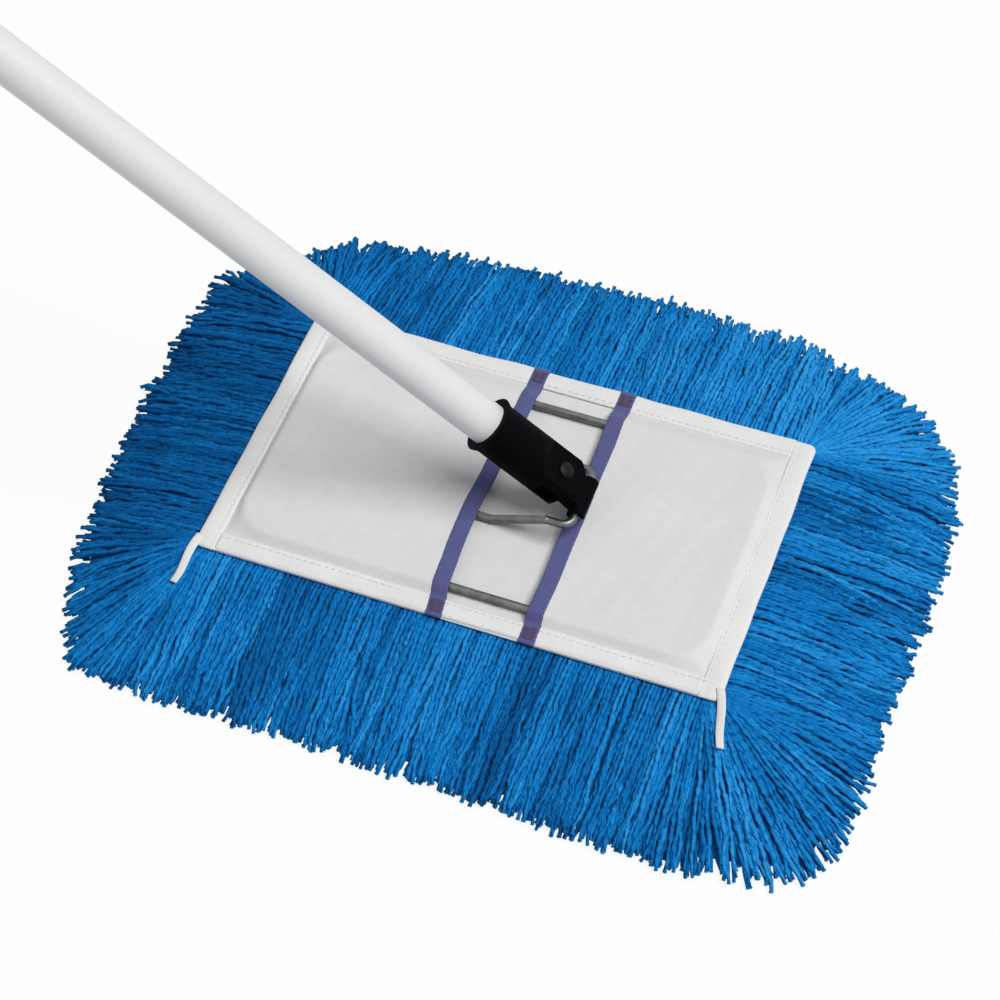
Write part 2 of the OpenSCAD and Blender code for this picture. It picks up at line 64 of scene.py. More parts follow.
class Nodes:
    """The node tree of a world or a material, and short ways to add nodes to it."""

    def __init__(self, owner):
        owner.use_nodes = True
        self.tree = owner.node_tree
        self.tree.nodes.clear()

    def feed(self, socket, value):
        """Links a node's output to a socket, or sets the socket to a constant."""
        if isinstance(value, bpy.types.NodeSocket):
            self.tree.links.new(value, socket)
        else:
            socket.default_value = value

    def node(self, kind, inputs, **settings):
        n = self.tree.nodes.new(kind)
        for key, value in settings.items():
            setattr(n, key, value)
        for key, value in inputs.items():
            self.feed(n.inputs[key], value)
        return n

    def math(self, op, a, b):
        return self.node("ShaderNodeMath", {0: a, 1: b}, operation=op).outputs[0]

    def mix_shaders(self, share, a, b):
        inputs = {0: share, 1: a.outputs[0], 2: b.outputs[0]}
        return self.node("ShaderNodeMixShader", inputs).outputs[0]

    def seen_rays(self):
        """1 for rays from the camera, in reflections and through glass, and 0 for the rest."""
        rays = self.node("ShaderNodeLightPath", {}).outputs
        seen = self.math("MAXIMUM", rays["Is Camera Ray"], rays["Is Glossy Ray"])
        return self.math("MAXIMUM", seen, rays["Is Transmission Ray"])


class Mat(Nodes):
    """A material with a Principled shader. Texture scales are per metre, and depths are in mm."""

    def __init__(self, name):
        self.mat = bpy.data.materials.new(name)
        super().__init__(self.mat)
        self.shader = self.node("ShaderNodeBsdfPrincipled", {})
        self.out = self.node("ShaderNodeOutputMaterial", {"Surface": self.shader.outputs[0]})

    def finish(self, **inputs):
        """Feeds the shader's inputs, and gives the material."""
        for key, value in inputs.items():
            self.feed(self.shader.inputs[key.replace("_", " ")], value)
        return self.mat

    def coords(self, kind="Object", scale=(1, 1, 1), turn=(0, 0, 0)):
        place = self.node("ShaderNodeTexCoord", {}).outputs[kind]
        inputs = {"Vector": place, "Scale": scale, "Rotation": turn}
        return self.node("ShaderNodeMapping", inputs).outputs["Vector"]

    def noise(self, vec, scale, detail=2.0, rough=0.55):
        inputs = {"Vector": vec, "Scale": scale, "Detail": detail, "Roughness": rough}
        return self.node("ShaderNodeTexNoise", inputs).outputs["Fac"]

    def wave(self, vec, scale, axis, distort):
        inputs = {"Vector": vec, "Scale": scale, "Distortion": distort, "Detail": 1.0, "Detail Scale": 2.0}
        return self.node("ShaderNodeTexWave", inputs, bands_direction=axis).outputs["Fac"]

    def weighted(self, *terms):
        """Sum of terms, each a value and its weight."""
        parts = [self.math("MULTIPLY", value, weight) for value, weight in terms]
        total = parts[0]
        for part in parts[1:]:
            total = self.math("ADD", total, part)
        return total

    def between(self, fac, low, high):
        inputs = {"Value": fac, "To Min": low, "To Max": high}
        return self.node("ShaderNodeMapRange", inputs).outputs["Result"]

    def ramp(self, fac, places, colours):
        n = self.node("ShaderNodeValToRGB", {"Fac": fac})
        stops = n.color_ramp.elements
        while len(stops) < len(places):
            stops.new(0.5)
        for stop, place, colour in zip(stops, places, colours):
            stop.position = place
            stop.color = (*colour, 1)
        return n.outputs["Color"]

    def soft_edges(self, radius):
        return self.node("ShaderNodeBevel", {"Radius": radius * MM}, samples=6).outputs["Normal"]

    def bump(self, height, depth, strength, normal=None):
        inputs = {"Height": height, "Distance": depth * MM, "Strength": strength}
        if normal is not None:
            inputs["Normal"] = normal
        return self.node("ShaderNodeBump", inputs).outputs["Normal"]


# Camera and light

CAMERA_AT = (328.9, -798.8, 1192.7)
CAMERA_RIGHT = (0.93531, 0.35285, -0.02608)
CAMERA_UP = (-0.27008, 0.75965, 0.5916)
CAMERA_BACK = (0.22856, -0.54628, 0.80581)
LENS, SENSOR = 93.6, 36.0
KEY_AT, KEY_AIM = (3300.0, -150.0, 6520.0), (0.0, 0.0, 20.0)
KEY_SIZE, KEY_WATTS, KEY_COLOUR = 4000.0, 440.0, (1.0, 0.99, 0.975)
FILL_COLOUR, FILL_STRENGTH = (0.96, 0.98, 1.0, 1), 0.29
WHITE, WHITE_STRENGTH = (1, 1, 1, 1), 1.0


def placed(at, turn):
    """World matrix of something that stands at a point and is turned."""
    return Matrix.Translation(Vector(at) * MM) @ turn.to_4x4()


def add_object(name, data):
    obj = bpy.data.objects.new(name, data)
    scene.collection.objects.link(obj)
    return obj


def make_camera():
    data = bpy.data.cameras.new("camera")
    data.sensor_width = SENSOR
    data.lens = LENS
    turn = Matrix((CAMERA_RIGHT, CAMERA_UP, CAMERA_BACK)).transposed()
    scene.camera = add_object("camera", data)
    scene.camera.matrix_world = placed(CAMERA_AT, turn)


def make_key_light():
    data = bpy.data.lights.new("key", "AREA")
    data.shape = "SQUARE"
    data.size = KEY_SIZE * MM
    data.energy = KEY_WATTS
    data.color = KEY_COLOUR
    lamp = add_object("key", data)
    look = Vector(KEY_AIM) - Vector(KEY_AT)
    lamp.matrix_world = placed(KEY_AT, look.to_track_quat("-Z", "Y").to_matrix())
    lamp.visible_camera = False


def make_world():
    """A soft fill on the object, with a white background behind it."""
    scene.world = bpy.data.worlds.new("studio")
    w = Nodes(scene.world)
    fill = w.node("ShaderNodeBackground", {"Color": FILL_COLOUR, "Strength": FILL_STRENGTH})
    white = w.node("ShaderNodeBackground", {"Color": WHITE, "Strength": WHITE_STRENGTH})
    light = w.mix_shaders(w.seen_rays(), fill, white)
    w.node("ShaderNodeOutputWorld", {"Surface": light})


# Materials

# Colours from the darkest to the lightest
YARN_BLUES = ((0.002, 0.075, 0.255), (0.004, 0.165, 0.49), (0.008, 0.24, 0.65), (0.032, 0.37, 0.83))
CLOTH_WHITES = ((0.66, 0.66, 0.67), (0.8, 0.8, 0.8))
HEM_WHITES = ((0.76, 0.76, 0.765), (0.88, 0.88, 0.87))
BINDING_VIOLETS = ((0.068, 0.077, 0.212), (0.116, 0.13, 0.322))
WHITE_THREADS = ((0.62, 0.62, 0.63), (0.86, 0.86, 0.85))
VIOLET_THREADS = ((0.066, 0.07, 0.17), (0.13, 0.14, 0.28))
DARK_THREADS = ((0.055, 0.035, 0.1), (0.12, 0.085, 0.2))
ZINC_GREYS = ((0.107, 0.115, 0.109), (0.19, 0.2, 0.188))
RIVET_BLACKS = ((0.01, 0.01, 0.011), (0.018, 0.018, 0.019))
SCREW_GREYS = ((0.045, 0.045, 0.048), (0.09, 0.09, 0.092))
SWIVEL_BLACKS = ((0.0014, 0.0014, 0.002), (0.003, 0.003, 0.0038))
CAP_BLACKS = ((0.005, 0.005, 0.006), (0.01, 0.01, 0.012))
COAT_WHITES = ((0.7, 0.7, 0.7), (0.725, 0.725, 0.72))
WOOD_BROWNS = ((0.36, 0.22, 0.1), (0.58, 0.41, 0.22))
FLOOR_WHITES = ((0.93, 0.93, 0.93), (0.95, 0.95, 0.95))

WAVE_PERIOD = 0.31416  # metres between the bands of a wave texture whose scale is 1
CLOTH_THREAD = 0.95  # spacing of the threads in the cloth
FLOOR_GLOW = 0.88  # share of plain white in the floor where it is seen


def yarn_material():
    """Blue yarn: each strand has its own shade, with fibres along it and patches over many strands. Its
    shade attribute also carries painted light and shade by side and by depth.
    """
    m = Mat("yarn")
    shade = m.node("ShaderNodeAttribute", {}, attribute_name="shade").outputs["Fac"]
    fibre = m.noise(m.coords("UV", scale=(6.0, 1.2, 1.0)), scale=2.4, detail=4.0, rough=0.65)
    patch = m.math("SUBTRACT", m.noise(m.coords(), scale=26.0), 0.5)
    level = m.weighted((shade, 0.72), (fibre, 0.30), (patch, 0.45))
    twist = m.wave(m.coords("UV", turn=(0, 0, 0.9)), scale=1.6, axis="X", distort=0.6)
    height = m.weighted((twist, 0.5), (fibre, 1.0))
    return m.finish(
        Base_Color=m.ramp(level, (0.05, 0.40, 0.65, 0.95), YARN_BLUES),
        Normal=m.bump(height, depth=0.4, strength=0.7),
        Roughness=0.9, Specular_IOR_Level=0.06,
        Sheen_Weight=0.06, Sheen_Roughness=0.5, Sheen_Tint=(0.1, 0.5, 1.0, 1),
    )


def cloth_material():
    """Plain woven cotton, with slubs in its threads."""
    m = Mat("cloth")
    vec = m.coords()
    scale = WAVE_PERIOD / (CLOTH_THREAD * MM)
    warp = m.wave(vec, scale, axis="X", distort=0.35)
    weft = m.wave(vec, scale, axis="Y", distort=0.35)
    weave = m.math("MULTIPLY", warp, weft)
    slub = m.noise(m.coords(scale=(1.0, 12.0, 1.0)), scale=160.0)
    cloud = m.noise(vec, scale=22.0, detail=3.0)
    level = m.weighted((weave, 0.35), (slub, 0.35), (cloud, 0.45))
    height = m.weighted((weave, 1.0), (slub, 0.5))
    return m.finish(
        Base_Color=m.ramp(level, (0.2, 0.75), CLOTH_WHITES),
        Roughness=m.between(cloud, 0.82, 0.95),
        Normal=m.bump(height, depth=0.22, strength=0.55),
        Sheen_Weight=0.12, Sheen_Roughness=0.6, Specular_IOR_Level=0.25,
    )


def tape_material(name, colours, rib):
    """Woven tape with fine slanting ribs."""
    m = Mat(name)
    vec = m.coords()
    scale = WAVE_PERIOD / (rib * MM)
    ribs = m.wave(vec, scale, axis="DIAGONAL", distort=0.5)
    cross = m.wave(vec, scale * 1.7, axis="Y", distort=0.4)
    cloud = m.noise(vec, scale=45.0, detail=3.0)
    fuzz = m.noise(vec, scale=900.0)
    height = m.weighted((ribs, 1.0), (cross, 0.6), (fuzz, 0.5))
    return m.finish(
        Base_Color=m.ramp(m.weighted((ribs, 0.4), (cloud, 0.6)), (0.2, 0.8), colours),
        Roughness=m.between(cloud, 0.74, 0.9),
        Normal=m.bump(height, depth=0.18, strength=0.6),
        Sheen_Weight=0.15, Sheen_Roughness=0.5, Specular_IOR_Level=0.3,
    )


def thread_material(name, colours):
    """Sewing thread of twisted plies."""
    m = Mat(name)
    ply = m.wave(m.coords("UV", turn=(0, 0, 0.8)), scale=2.2, axis="X", distort=0.3)
    fuzz = m.noise(m.coords(), scale=1500.0)
    return m.finish(
        Base_Color=m.ramp(m.weighted((ply, 0.6), (fuzz, 0.4)), (0.2, 0.8), colours),
        Roughness=m.between(fuzz, 0.55, 0.75),
        Normal=m.bump(ply, depth=0.1, strength=0.5),
        Sheen_Weight=0.2, Specular_IOR_Level=0.4,
    )


def metal_material(name, colours, rough):
    """Plated or blackened steel, clouded and finely scratched."""
    m = Mat(name)
    cloud = m.noise(m.coords(), scale=140.0, detail=4.0)
    fine = m.noise(m.coords(scale=(30, 400, 400)), scale=10.0)
    return m.finish(
        Base_Color=m.ramp(cloud, (0.3, 0.7), colours),
        Roughness=m.between(m.weighted((cloud, 0.6), (fine, 0.4)), rough - 0.09, rough + 0.12),
        Normal=m.bump(fine, depth=0.06, strength=0.35, normal=m.soft_edges(0.3)),
        Metallic=1.0,
    )


def plastic_material(name, colours, rough):
    """Moulded plastic with a fine spark-eroded grain and scuffs."""
    m = Mat(name)
    grain = m.noise(m.coords(), scale=1900.0)
    scuff = m.noise(m.coords(scale=(1, 6, 2)), scale=120.0, detail=5.0, rough=0.7)
    return m.finish(
        Base_Color=m.ramp(scuff, (0.35, 0.75), colours),
        Roughness=m.between(scuff, rough - 0.1, rough + 0.14),
        Normal=m.bump(grain, depth=0.07, strength=0.5, normal=m.soft_edges(0.8)),
        Specular_IOR_Level=0.02,
    )


def coat_material():
    """White powder coat on the tube, with a slight orange peel."""
    m = Mat("white_coat")
    vec = m.coords()
    peel = m.noise(vec, scale=420.0)
    cloud = m.noise(vec, scale=9.0, detail=4.0)
    return m.finish(
        Base_Color=m.ramp(cloud, (0.3, 0.7), COAT_WHITES),
        Roughness=m.between(cloud, 0.40, 0.48),
        Normal=m.bump(peel, depth=0.06, strength=0.15),
        Specular_IOR_Level=0.5, Coat_Weight=0.15, Coat_Roughness=0.2,
    )


def wood_material():
    """Softwood of the plug, with its rings and grain."""
    m = Mat("plug_wood")
    rings = m.wave(m.coords(turn=(0.0, 0.75, 0.1)), scale=90.0, axis="Z", distort=2.5)
    grain = m.noise(m.coords(scale=(12, 90, 12)), scale=30.0, detail=4.0)
    return m.finish(
        Base_Color=m.ramp(m.weighted((rings, 0.55), (grain, 0.45)), (0.2, 0.8), WOOD_BROWNS),
        Roughness=m.between(grain, 0.6, 0.8),
        Normal=m.bump(grain, depth=0.2, strength=0.4),
    )


def floor_material():
    """White floor: where it is seen it is mostly plain white, and it keeps the object's shadow."""
    m = Mat("floor_white")
    cloud = m.noise(m.coords(), scale=0.7)
    glow = m.node("ShaderNodeEmission", {"Strength": WHITE_STRENGTH})
    share = m.math("MULTIPLY", m.seen_rays(), FLOOR_GLOW)
    m.feed(m.out.inputs["Surface"], m.mix_shaders(share, m.shader, glow))
    colour = m.ramp(cloud, (0.3, 0.7), FLOOR_WHITES)
    return m.finish(Base_Color=colour, Roughness=0.8, Specular_IOR_Level=0.1)


# Mesh helpers

END_BULGE = 0.4  # how far a tube's end stands out, as a share of its radius
UV_SHIFT, UV_SHIFTS = 0.37, 7.0  # shift of the texture from tube to tube, and where that starts again
MID_SHADE, PAINTED_SHADE_YARN = 0.5, 0.2  # shade of thread, and painted shade on yarn that lies deep among the strands
RIPPLE_TERMS, RIPPLE_SPREAD = 6, (0.6, 1.6)


def add_mesh(name, verts, quads=(), tris=(), uv=None, shade=None):
    """A new smooth object. Faces are turned outwards where the mesh is closed."""
    verts = np.asarray(verts)
    quads = np.asarray(quads, int).reshape(-1, 4)
    tris = np.asarray(tris, int).reshape(-1, 3)
    every = np.concatenate([quads[:, [0, 1, 2]], quads[:, [0, 2, 3]], tris])
    a, b, c = (verts[every[:, i]] for i in range(3))
    if (a * np.cross(b, c)).sum() < 0:
        quads, tris = quads[:, ::-1], tris[:, ::-1]
    mesh = bpy.data.meshes.new(name)
    mesh.from_pydata(verts * MM, [], quads.tolist() + tris.tolist(), shade_flat=False)
    if uv is not None:
        loops = np.concatenate([quads.ravel(), tris.ravel()])
        layer = mesh.uv_layers.new(name="UVMap")
        layer.data.foreach_set("uv", np.asarray(uv, np.float32)[loops].ravel())
    if shade is not None:
        attribute = mesh.attributes.new("shade", "FLOAT", "POINT")
        attribute.data.foreach_set("value", np.asarray(shade, np.float32))
    mesh.validate()
    return add_object(name, mesh)


def piece(name, mesh, mat, slot, *stands_for):
    """A new piece of the head, in place of the CAD nodes that it stands for."""
    obj = add_mesh(name, *mesh)
    obj.data.materials.append(mat)
    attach(obj, "head")
    if stands_for:
        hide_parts(*stands_for)
    return obj


def joined(parts):
    """Puts several (verts, quads, tris, uv, shade) together as one."""
    base = 0
    moved = []
    for verts, quads, tris, uv, shade in parts:
        moved.append((verts, quads + base, tris + base, uv, shade))
        base += len(verts)
    return [np.concatenate(x) for x in zip(*moved)]


def tube_points(paths, radius, sides, lobe, turn):
    """Lobed rings of points round the paths, and a point past each end."""
    along = np.gradient(paths, axis=1)
    along /= np.linalg.norm(along, axis=2, keepdims=True)
    side = np.cross(along, (0, 0, 1))
    side /= np.linalg.norm(side, axis=2, keepdims=True) + TINY
    over = np.cross(side, along)
    angle = turn[..., None] + 2 * np.pi * np.arange(sides) / sides
    r = radius[..., None] * (1 + lobe * np.where(np.arange(sides) % 2 == 0, 1, -1))
    ring = paths[:, :, None] + r[..., None] * (
        np.cos(angle)[..., None] * side[:, :, None] + np.sin(angle)[..., None] * over[:, :, None]
    )
    first = paths[:, 0] - along[:, 0] * radius[:, :1] * END_BULGE
    last = paths[:, -1] + along[:, -1] * radius[:, -1:] * END_BULGE
    return np.concatenate([ring.reshape(len(paths), -1, 3), np.stack([first, last], 1)], 1)


def tube_faces(count, n, sides):
    """Faces of tubes of n rings each: quads round the walls, and triangles to a point at each end."""
    i = np.arange(n - 1)[:, None] * sides
    j = np.arange(sides)
    k = (j + 1) % sides
    walls = np.stack([i + j, i + sides + j, i + sides + k, i + k], -1)
    first = n * sides
    last_ring = first - sides
    ends = np.concatenate([
        np.stack([np.full(sides, first), j, k], 1),
        np.stack([np.full(sides, first + 1), last_ring + k, last_ring + j], 1),
    ])
    base = (np.arange(count) * (first + 2))[:, None, None]
    return (walls.reshape(1, -1, 4) + base).reshape(-1, 4), (ends[None] + base).reshape(-1, 3)


def tube_uv(paths, sides):
    """Texture places on tubes: once round in u, and centimetres along in v."""
    count = len(paths)
    steps = np.linalg.norm(np.diff(paths, axis=1), axis=2)
    run = np.concatenate([np.zeros((count, 1)), np.cumsum(steps, 1)], 1) / CM
    u, v = np.broadcast_arrays(np.arange(sides) / sides, run[..., None])
    rings = np.stack([u, v], -1).reshape(count, -1, 2)
    ends = np.stack([np.zeros((count, 2)), run[:, [0, -1]]], -1)
    shift = (np.arange(count) * UV_SHIFT % UV_SHIFTS)[:, None, None] * [0, 1]
    return (np.concatenate([rings, ends], 1) + shift).reshape(-1, 2)


def tubes(paths, radius, sides, lobe, turn, shade):
    """Tubes along paths (count, points, 3). Their lobes turn along the way, as those of yarn do."""
    count, n, _ = paths.shape
    radius = np.broadcast_to(radius, (count, n))
    verts = tube_points(paths, radius, sides, lobe, turn)
    quads, tris = tube_faces(count, n, sides)
    return verts.reshape(-1, 3), quads, tris, tube_uv(paths, sides), np.repeat(shade, verts.shape[1])


def loft(rails):
    """A closed body through lines (x, y, z) along it, which go round the other way than a tube's."""
    rings = np.transpose(rails, (2, 0, 1))
    verts = np.concatenate([rings.reshape(-1, 3), rings[0].mean(0)[None], rings[-1].mean(0)[None]])
    quads, tris = tube_faces(1, *rings.shape[:2])
    return verts, quads[:, [0, 3, 2, 1]], tris[:, [0, 2, 1]]


def slab(x, y, top, bottom):
    """A closed sheet over a grid of places, between two heights."""
    off = x.size
    grid = np.arange(off).reshape(x.shape)
    upper = np.stack([grid[:-1, :-1], grid[:-1, 1:], grid[1:, 1:], grid[1:, :-1]], -1).reshape(-1, 4)
    rim = np.concatenate([grid[0], grid[1:, -1], grid[-1, -2::-1], grid[-2:0:-1, 0]])
    following = np.roll(rim, -1)
    walls = np.stack([rim, rim + off, following + off, following], -1)
    verts = np.concatenate([np.stack([x, y, z], -1).reshape(-1, 3) for z in (top, bottom)])
    return verts, np.concatenate([upper, upper[:, ::-1] + off, walls])


def yarn_mass(x, y, top, bottom):
    """A closed mass of yarn over a grid of places, between two heights, painted dark as shade among the
    strands.
    """
    verts, quads = slab(x, y, top, bottom)
    tris = np.zeros((0, 3), int)
    return verts, quads, tris, verts[:, :2] / CM, np.full(len(verts), PAINTED_SHADE_YARN)


def ripple(x, y, seed, size):
    """Smooth random waves of about unit height and that size over the plan."""
    rng = np.random.default_rng(seed)
    total = 0
    for _ in range(RIPPLE_TERMS):
        heading = rng.uniform(0, 2 * np.pi)
        rate = 2 * np.pi / (size * rng.uniform(*RIPPLE_SPREAD))
        phase = rng.uniform(0, 2 * np.pi)
        total = total + np.sin(rate * (x * np.cos(heading) + y * np.sin(heading)) + phase)
    return total / math.sqrt(RIPPLE_TERMS)


def hump(x, at, width):
    """A smooth hump of height 1."""
    return np.exp(-((x - at) / width) ** 2)


def smooth(s):
    """Eases a share in and out."""
    return s * s * (3 - 2 * s)


# Fringe

class Side(NamedTuple):
    """A side of the fringe. Seen from outside it, its near corner is on the left."""
    turn: float  # degrees from the front
    half_run: float  # half the length of the cloth along it
    half_across: float  # from the middle of the cloth out to it
    middle_l: float  # length of the yarn in its middle
    near_l: float  # length at its near corner
    far_l: float  # length at its far one
    power: int  # how late the length changes to that of the corners
    cuts: tuple  # how the cut strays: shares of the way from the near corner, and mm there
    painted_light: tuple  # painted light and shade on the yarn, at shares of that way
    near_turn: float = 0.0  # degrees that the parting at its near corner is turned towards it
    far_turn: float = 0.0  # and that at its far corner away from it


# Each side's painted_light table paints light and shade onto the yarn's tone
SIDES = {
    "front": Side(
        turn=0.0, half_run=HALF_L, half_across=HALF_W, middle_l=89.0, near_l=95.0, far_l=108.0,
        power=5, near_turn=15.0,
        cuts=(
            (0, 2.5), (0.025, 2.5), (0.05, 0), (0.11, -1), (0.18, 2), (0.3, -1.5),
            (0.6, 0.5), (0.75, 3.5), (0.85, 1), (0.94, -3.5), (0.97, 0.5), (1, 1),
        ),
        painted_light=((0, 0.08), (0.1, 0.08), (0.2, 0.02), (0.6, 0.02), (1, 0.1)),
    ),
    "back": Side(
        turn=180.0, half_run=HALF_L, half_across=HALF_W, middle_l=88.0, near_l=76.0, far_l=64.0,
        power=3,
        cuts=(
            (0, -1), (0.05, -2), (0.1, -8), (0.14, -1), (0.22, 1.5), (0.28, -1.5), (0.4, 1.5),
            (0.5, -3), (0.6, -1.5), (0.72, -4.5), (0.79, -2.5), (0.83, -7), (0.88, -1), (1, -4),
        ),
        painted_light=((0, 0.28), (0.15, 0.22), (0.55, 0.18), (0.8, -0.32), (1, -0.34)),
    ),
    "left": Side(
        turn=-90.0, half_run=HALF_W, half_across=HALF_L, middle_l=77.0, near_l=64.0, far_l=95.0,
        power=7, far_turn=15.0,
        cuts=(
            (0, -5), (0.08, -4), (0.12, 6), (0.15, 1), (0.22, 0.5), (0.28, 3.5), (0.36, -1),
            (0.46, 5), (0.53, -1), (0.62, 0), (0.8, -7.5), (0.87, -9.5), (0.95, -6), (1, 2.5),
        ),
        painted_light=((0, -0.36), (0.5, -0.46), (0.85, -0.4), (1, -0.04)),
    ),
    "right": Side(
        turn=90.0, half_run=HALF_W, half_across=HALF_L, middle_l=88.0, near_l=108.0, far_l=76.0,
        power=5,
        cuts=(
            (0, 1.5), (0.08, 0), (0.12, -4.5), (0.2, -6.5), (0.27, -5), (0.34, -1.5), (0.46, -0.5),
            (0.6, 0.5), (0.65, 1), (0.72, -5.5), (0.77, -1), (0.83, -2.5), (1, 0),
        ),
        painted_light=((0, 0.1), (0.8, 0.1), (1, 0.28)),
    ),
}
STRAND_R, STRAND_SIDES = 1.42, 6


class Layer(NamedTuple):
    """A layer of strands all round the fringe."""
    level: float  # from 0 on the floor to 1 on top
    pitch: float  # spacing of the strands
    points: int  # points along a strand
    seed: int
    stray: float = 0.0  # share of loose strands
    sides: int = STRAND_SIDES
    radius: float = STRAND_R


TOP_LAYERS = (
    Layer(level=1.0, pitch=2.35, points=23, seed=100, stray=0.05),
    Layer(level=0.90, pitch=2.35, points=23, seed=200, stray=0.02),
    Layer(level=0.74, pitch=2.5, points=20, seed=300),
)
UNDER_LAYERS = (
    Layer(level=0.48, pitch=2.9, points=14, sides=5, radius=1.5, seed=400),
    Layer(level=0.08, pitch=2.9, points=14, sides=5, radius=1.5, seed=500),
)

OUTWARD, HALF_CORNER = -90.0, 45.0  # degrees: the way out of the front, and half a corner
FAN_REACH = 45.0  # the strands of a corner are at their full spacing this far out
FAN_RUN = 42.0  # length that half a corner counts for along its side
PITCH_SPREAD = 0.25  # how far a strand lies out of its place

TIP_TOP, ROOT_RISE, FALL_POWER = 5.2, 14.6, 1.8  # top of the yarn at its cut, and its rise to the cloth
CREST_H, CREST_AT, CREST_W = 1.2, 0.08, 0.06  # low crest near the cloth, in shares of the yarn's length

STRAND_ROOT = -14.0  # strands start this far under the cloth
STRAND_TURN_L, STRAND_LOBE = 27.0, 0.17  # length of one turn of the yarn, depth of its lobes
STRAND_WAVES = ((46, 0.9), (24, 0.55), (13, 0.28))  # length and height of each
WAVE_STRETCH, BOB = (0.7, 1.4), 0.55  # spread of the waves, upward ones against sideways ones
STRAND_DRIFT, DRIFT_POWER, ROOT_SWAY = 1.7, 1.5, 0.25  # random way aside, which grows towards the tip
LOOSE_DRIFT, LOOSE_LIFT = 7.0, (0.8, 2.2)  # that of loose strands, and how far they stand up
STRAND_CUT, UNDERCUT, OVER_REACH = (-1.5, 2.2), 2.0, 4.0  # spread of the cut, loss at the floor, most gain
RADIUS_SPREAD, TIP_TAPER, TAPER_POWER = (0.86, 1.14), 0.18, 6
MEAN_TONE, TONE_SPREAD, LEAST_TONE = 0.53, 0.13, 0.02
PAINTED_DEPTH_SHADE, LIT_LEVEL, LEVEL_SPREAD = 0.35, 0.9, 0.05  # painted shade: lower strands are darker, for the shade among the strands
UNDER_CLOTH, OVER_FRINGE, AT_CLOTH = 18.0, 24.0, 0.02  # greatest heights, and the share where they change
ON_FLOOR = 1.35  # least height over the floor, in radii

LOCK_W, LOCK_BLUR = 13.0, 1.5  # width of a lock of strands that lie together, spread of its edges
LOCK_SHIFT, LOCK_SEED = 3.3, 500  # locks from the floor to the top layer, and what is added to its seed
LOCK_PULL = 0.30  # how much a strand is drawn to the middle of its lock
LOCK_DRIFT, LOCK_CUT, LOCK_TONE = 2.6, (-3.0, 2.5), 0.16

FILL_SEED, FILL_PITCH, FILL_ROOT = 77, 3.2, -16.0
FILL_SHARES = (0.0, 0.25, 0.5, 0.72, 0.88)  # rows along the yarn's length
FILL_DROP = 4.4  # how far the fill lies under the top of the yarn
FILL_GROOVE, FILL_GROOVE_L = 0.8, 6.5
FILL_LEAST, FILL_BOTTOM = 1.4, 0.5  # least height of its top, and height of its underside


def read_table(table, share):
    """Values at shares of a side, from a table of shares and values."""
    shares, values = zip(*table)
    return np.interp(share, shares, values)


def yarn_height(t):
    """Height of the top of the yarn at a share of its length."""
    t = np.clip(t, 0, 1)
    return TIP_TOP + ROOT_RISE * (1 - t ** FALL_POWER) + CREST_H * hump(t, CREST_AT, CREST_W)


def yarn_length(side, share):
    """Length of the yarn at shares of a side."""
    corner_l = np.where(share < 0.5, side.near_l, side.far_l)
    smooth_l = side.middle_l + (corner_l - side.middle_l) * np.abs(2 * share - 1) ** side.power
    return smooth_l + read_table(side.cuts, share)


def whole_share(side, fan_share, run_share):
    """Shares of a side with its two half corners, in half locks as in the CAD."""
    fan = 2 * CORNER_LOCKS
    run = 2 * round(2 * (side.half_run - CORNER) / LOCK_PITCH)
    steps = np.concatenate([fan * fan_share, fan + run * run_share, fan + run + fan * fan_share])
    return steps / (fan + run + fan)


def feet(side, pitch, rng):
    """Where strands leave the cloth: foot, way out, full length, place along the side, and the painted light
    and shade there.
    """
    half = side.half_run - CORNER
    fan = round(math.pi / 4 * (CORNER + FAN_REACH) / pitch)
    run = round(2 * half / pitch)
    fan_share = (np.arange(fan) + 0.5) / fan
    run_share = (np.arange(run) + 0.5 + rng.uniform(-PITCH_SPREAD, PITCH_SPREAD, run)) / run
    turn = np.radians(np.concatenate([
        OUTWARD - (HALF_CORNER - side.near_turn) * (1 - fan_share),
        np.full(run, OUTWARD),
        OUTWARD + (HALF_CORNER + side.far_turn) * fan_share,
    ]))
    on_run = (2 * run_share - 1) * half
    place = np.concatenate([-half - FAN_RUN * (1 - fan_share), on_run, half + FAN_RUN * fan_share])
    along = np.clip(place, -half, half)
    share = whole_share(side, fan_share, run_share)
    out = np.stack([np.cos(turn), np.sin(turn)], 1)
    foot = np.stack([along, np.full_like(along, CORNER - side.half_across)], 1) + out * CORNER
    return foot, out, yarn_length(side, share), place, read_table(side.painted_light, share)


def spin(xy, degrees):
    """Turns places in plan about the middle, and gives them as x and y."""
    turn = math.radians(degrees)
    x, y = np.moveaxis(xy, -1, 0)
    return x * math.cos(turn) - y * math.sin(turn), x * math.sin(turn) + y * math.cos(turn)


def gather(place, level, seed, rng):
    """Strands in locks: the drift, cut and tone of each strand's lock, and its pull on the strand."""
    shift = level * LOCK_SHIFT
    lock = np.floor((place + rng.normal(0, LOCK_BLUR, len(place))) / LOCK_W + shift).astype(int)
    number = lock - lock.min()
    count = number.max() + 1
    locks = np.random.default_rng(seed + LOCK_SEED)
    drift = locks.normal(0, LOCK_DRIFT, count)
    cut = locks.uniform(*LOCK_CUT, count)
    tone = locks.normal(0, LOCK_TONE, count)
    pull = LOCK_PULL * ((lock + 0.5 - shift) * LOCK_W - place)
    return drift[number], cut[number], tone[number], pull


def any_turn(count, rng):
    return rng.uniform(0, 2 * np.pi, (count, 1))


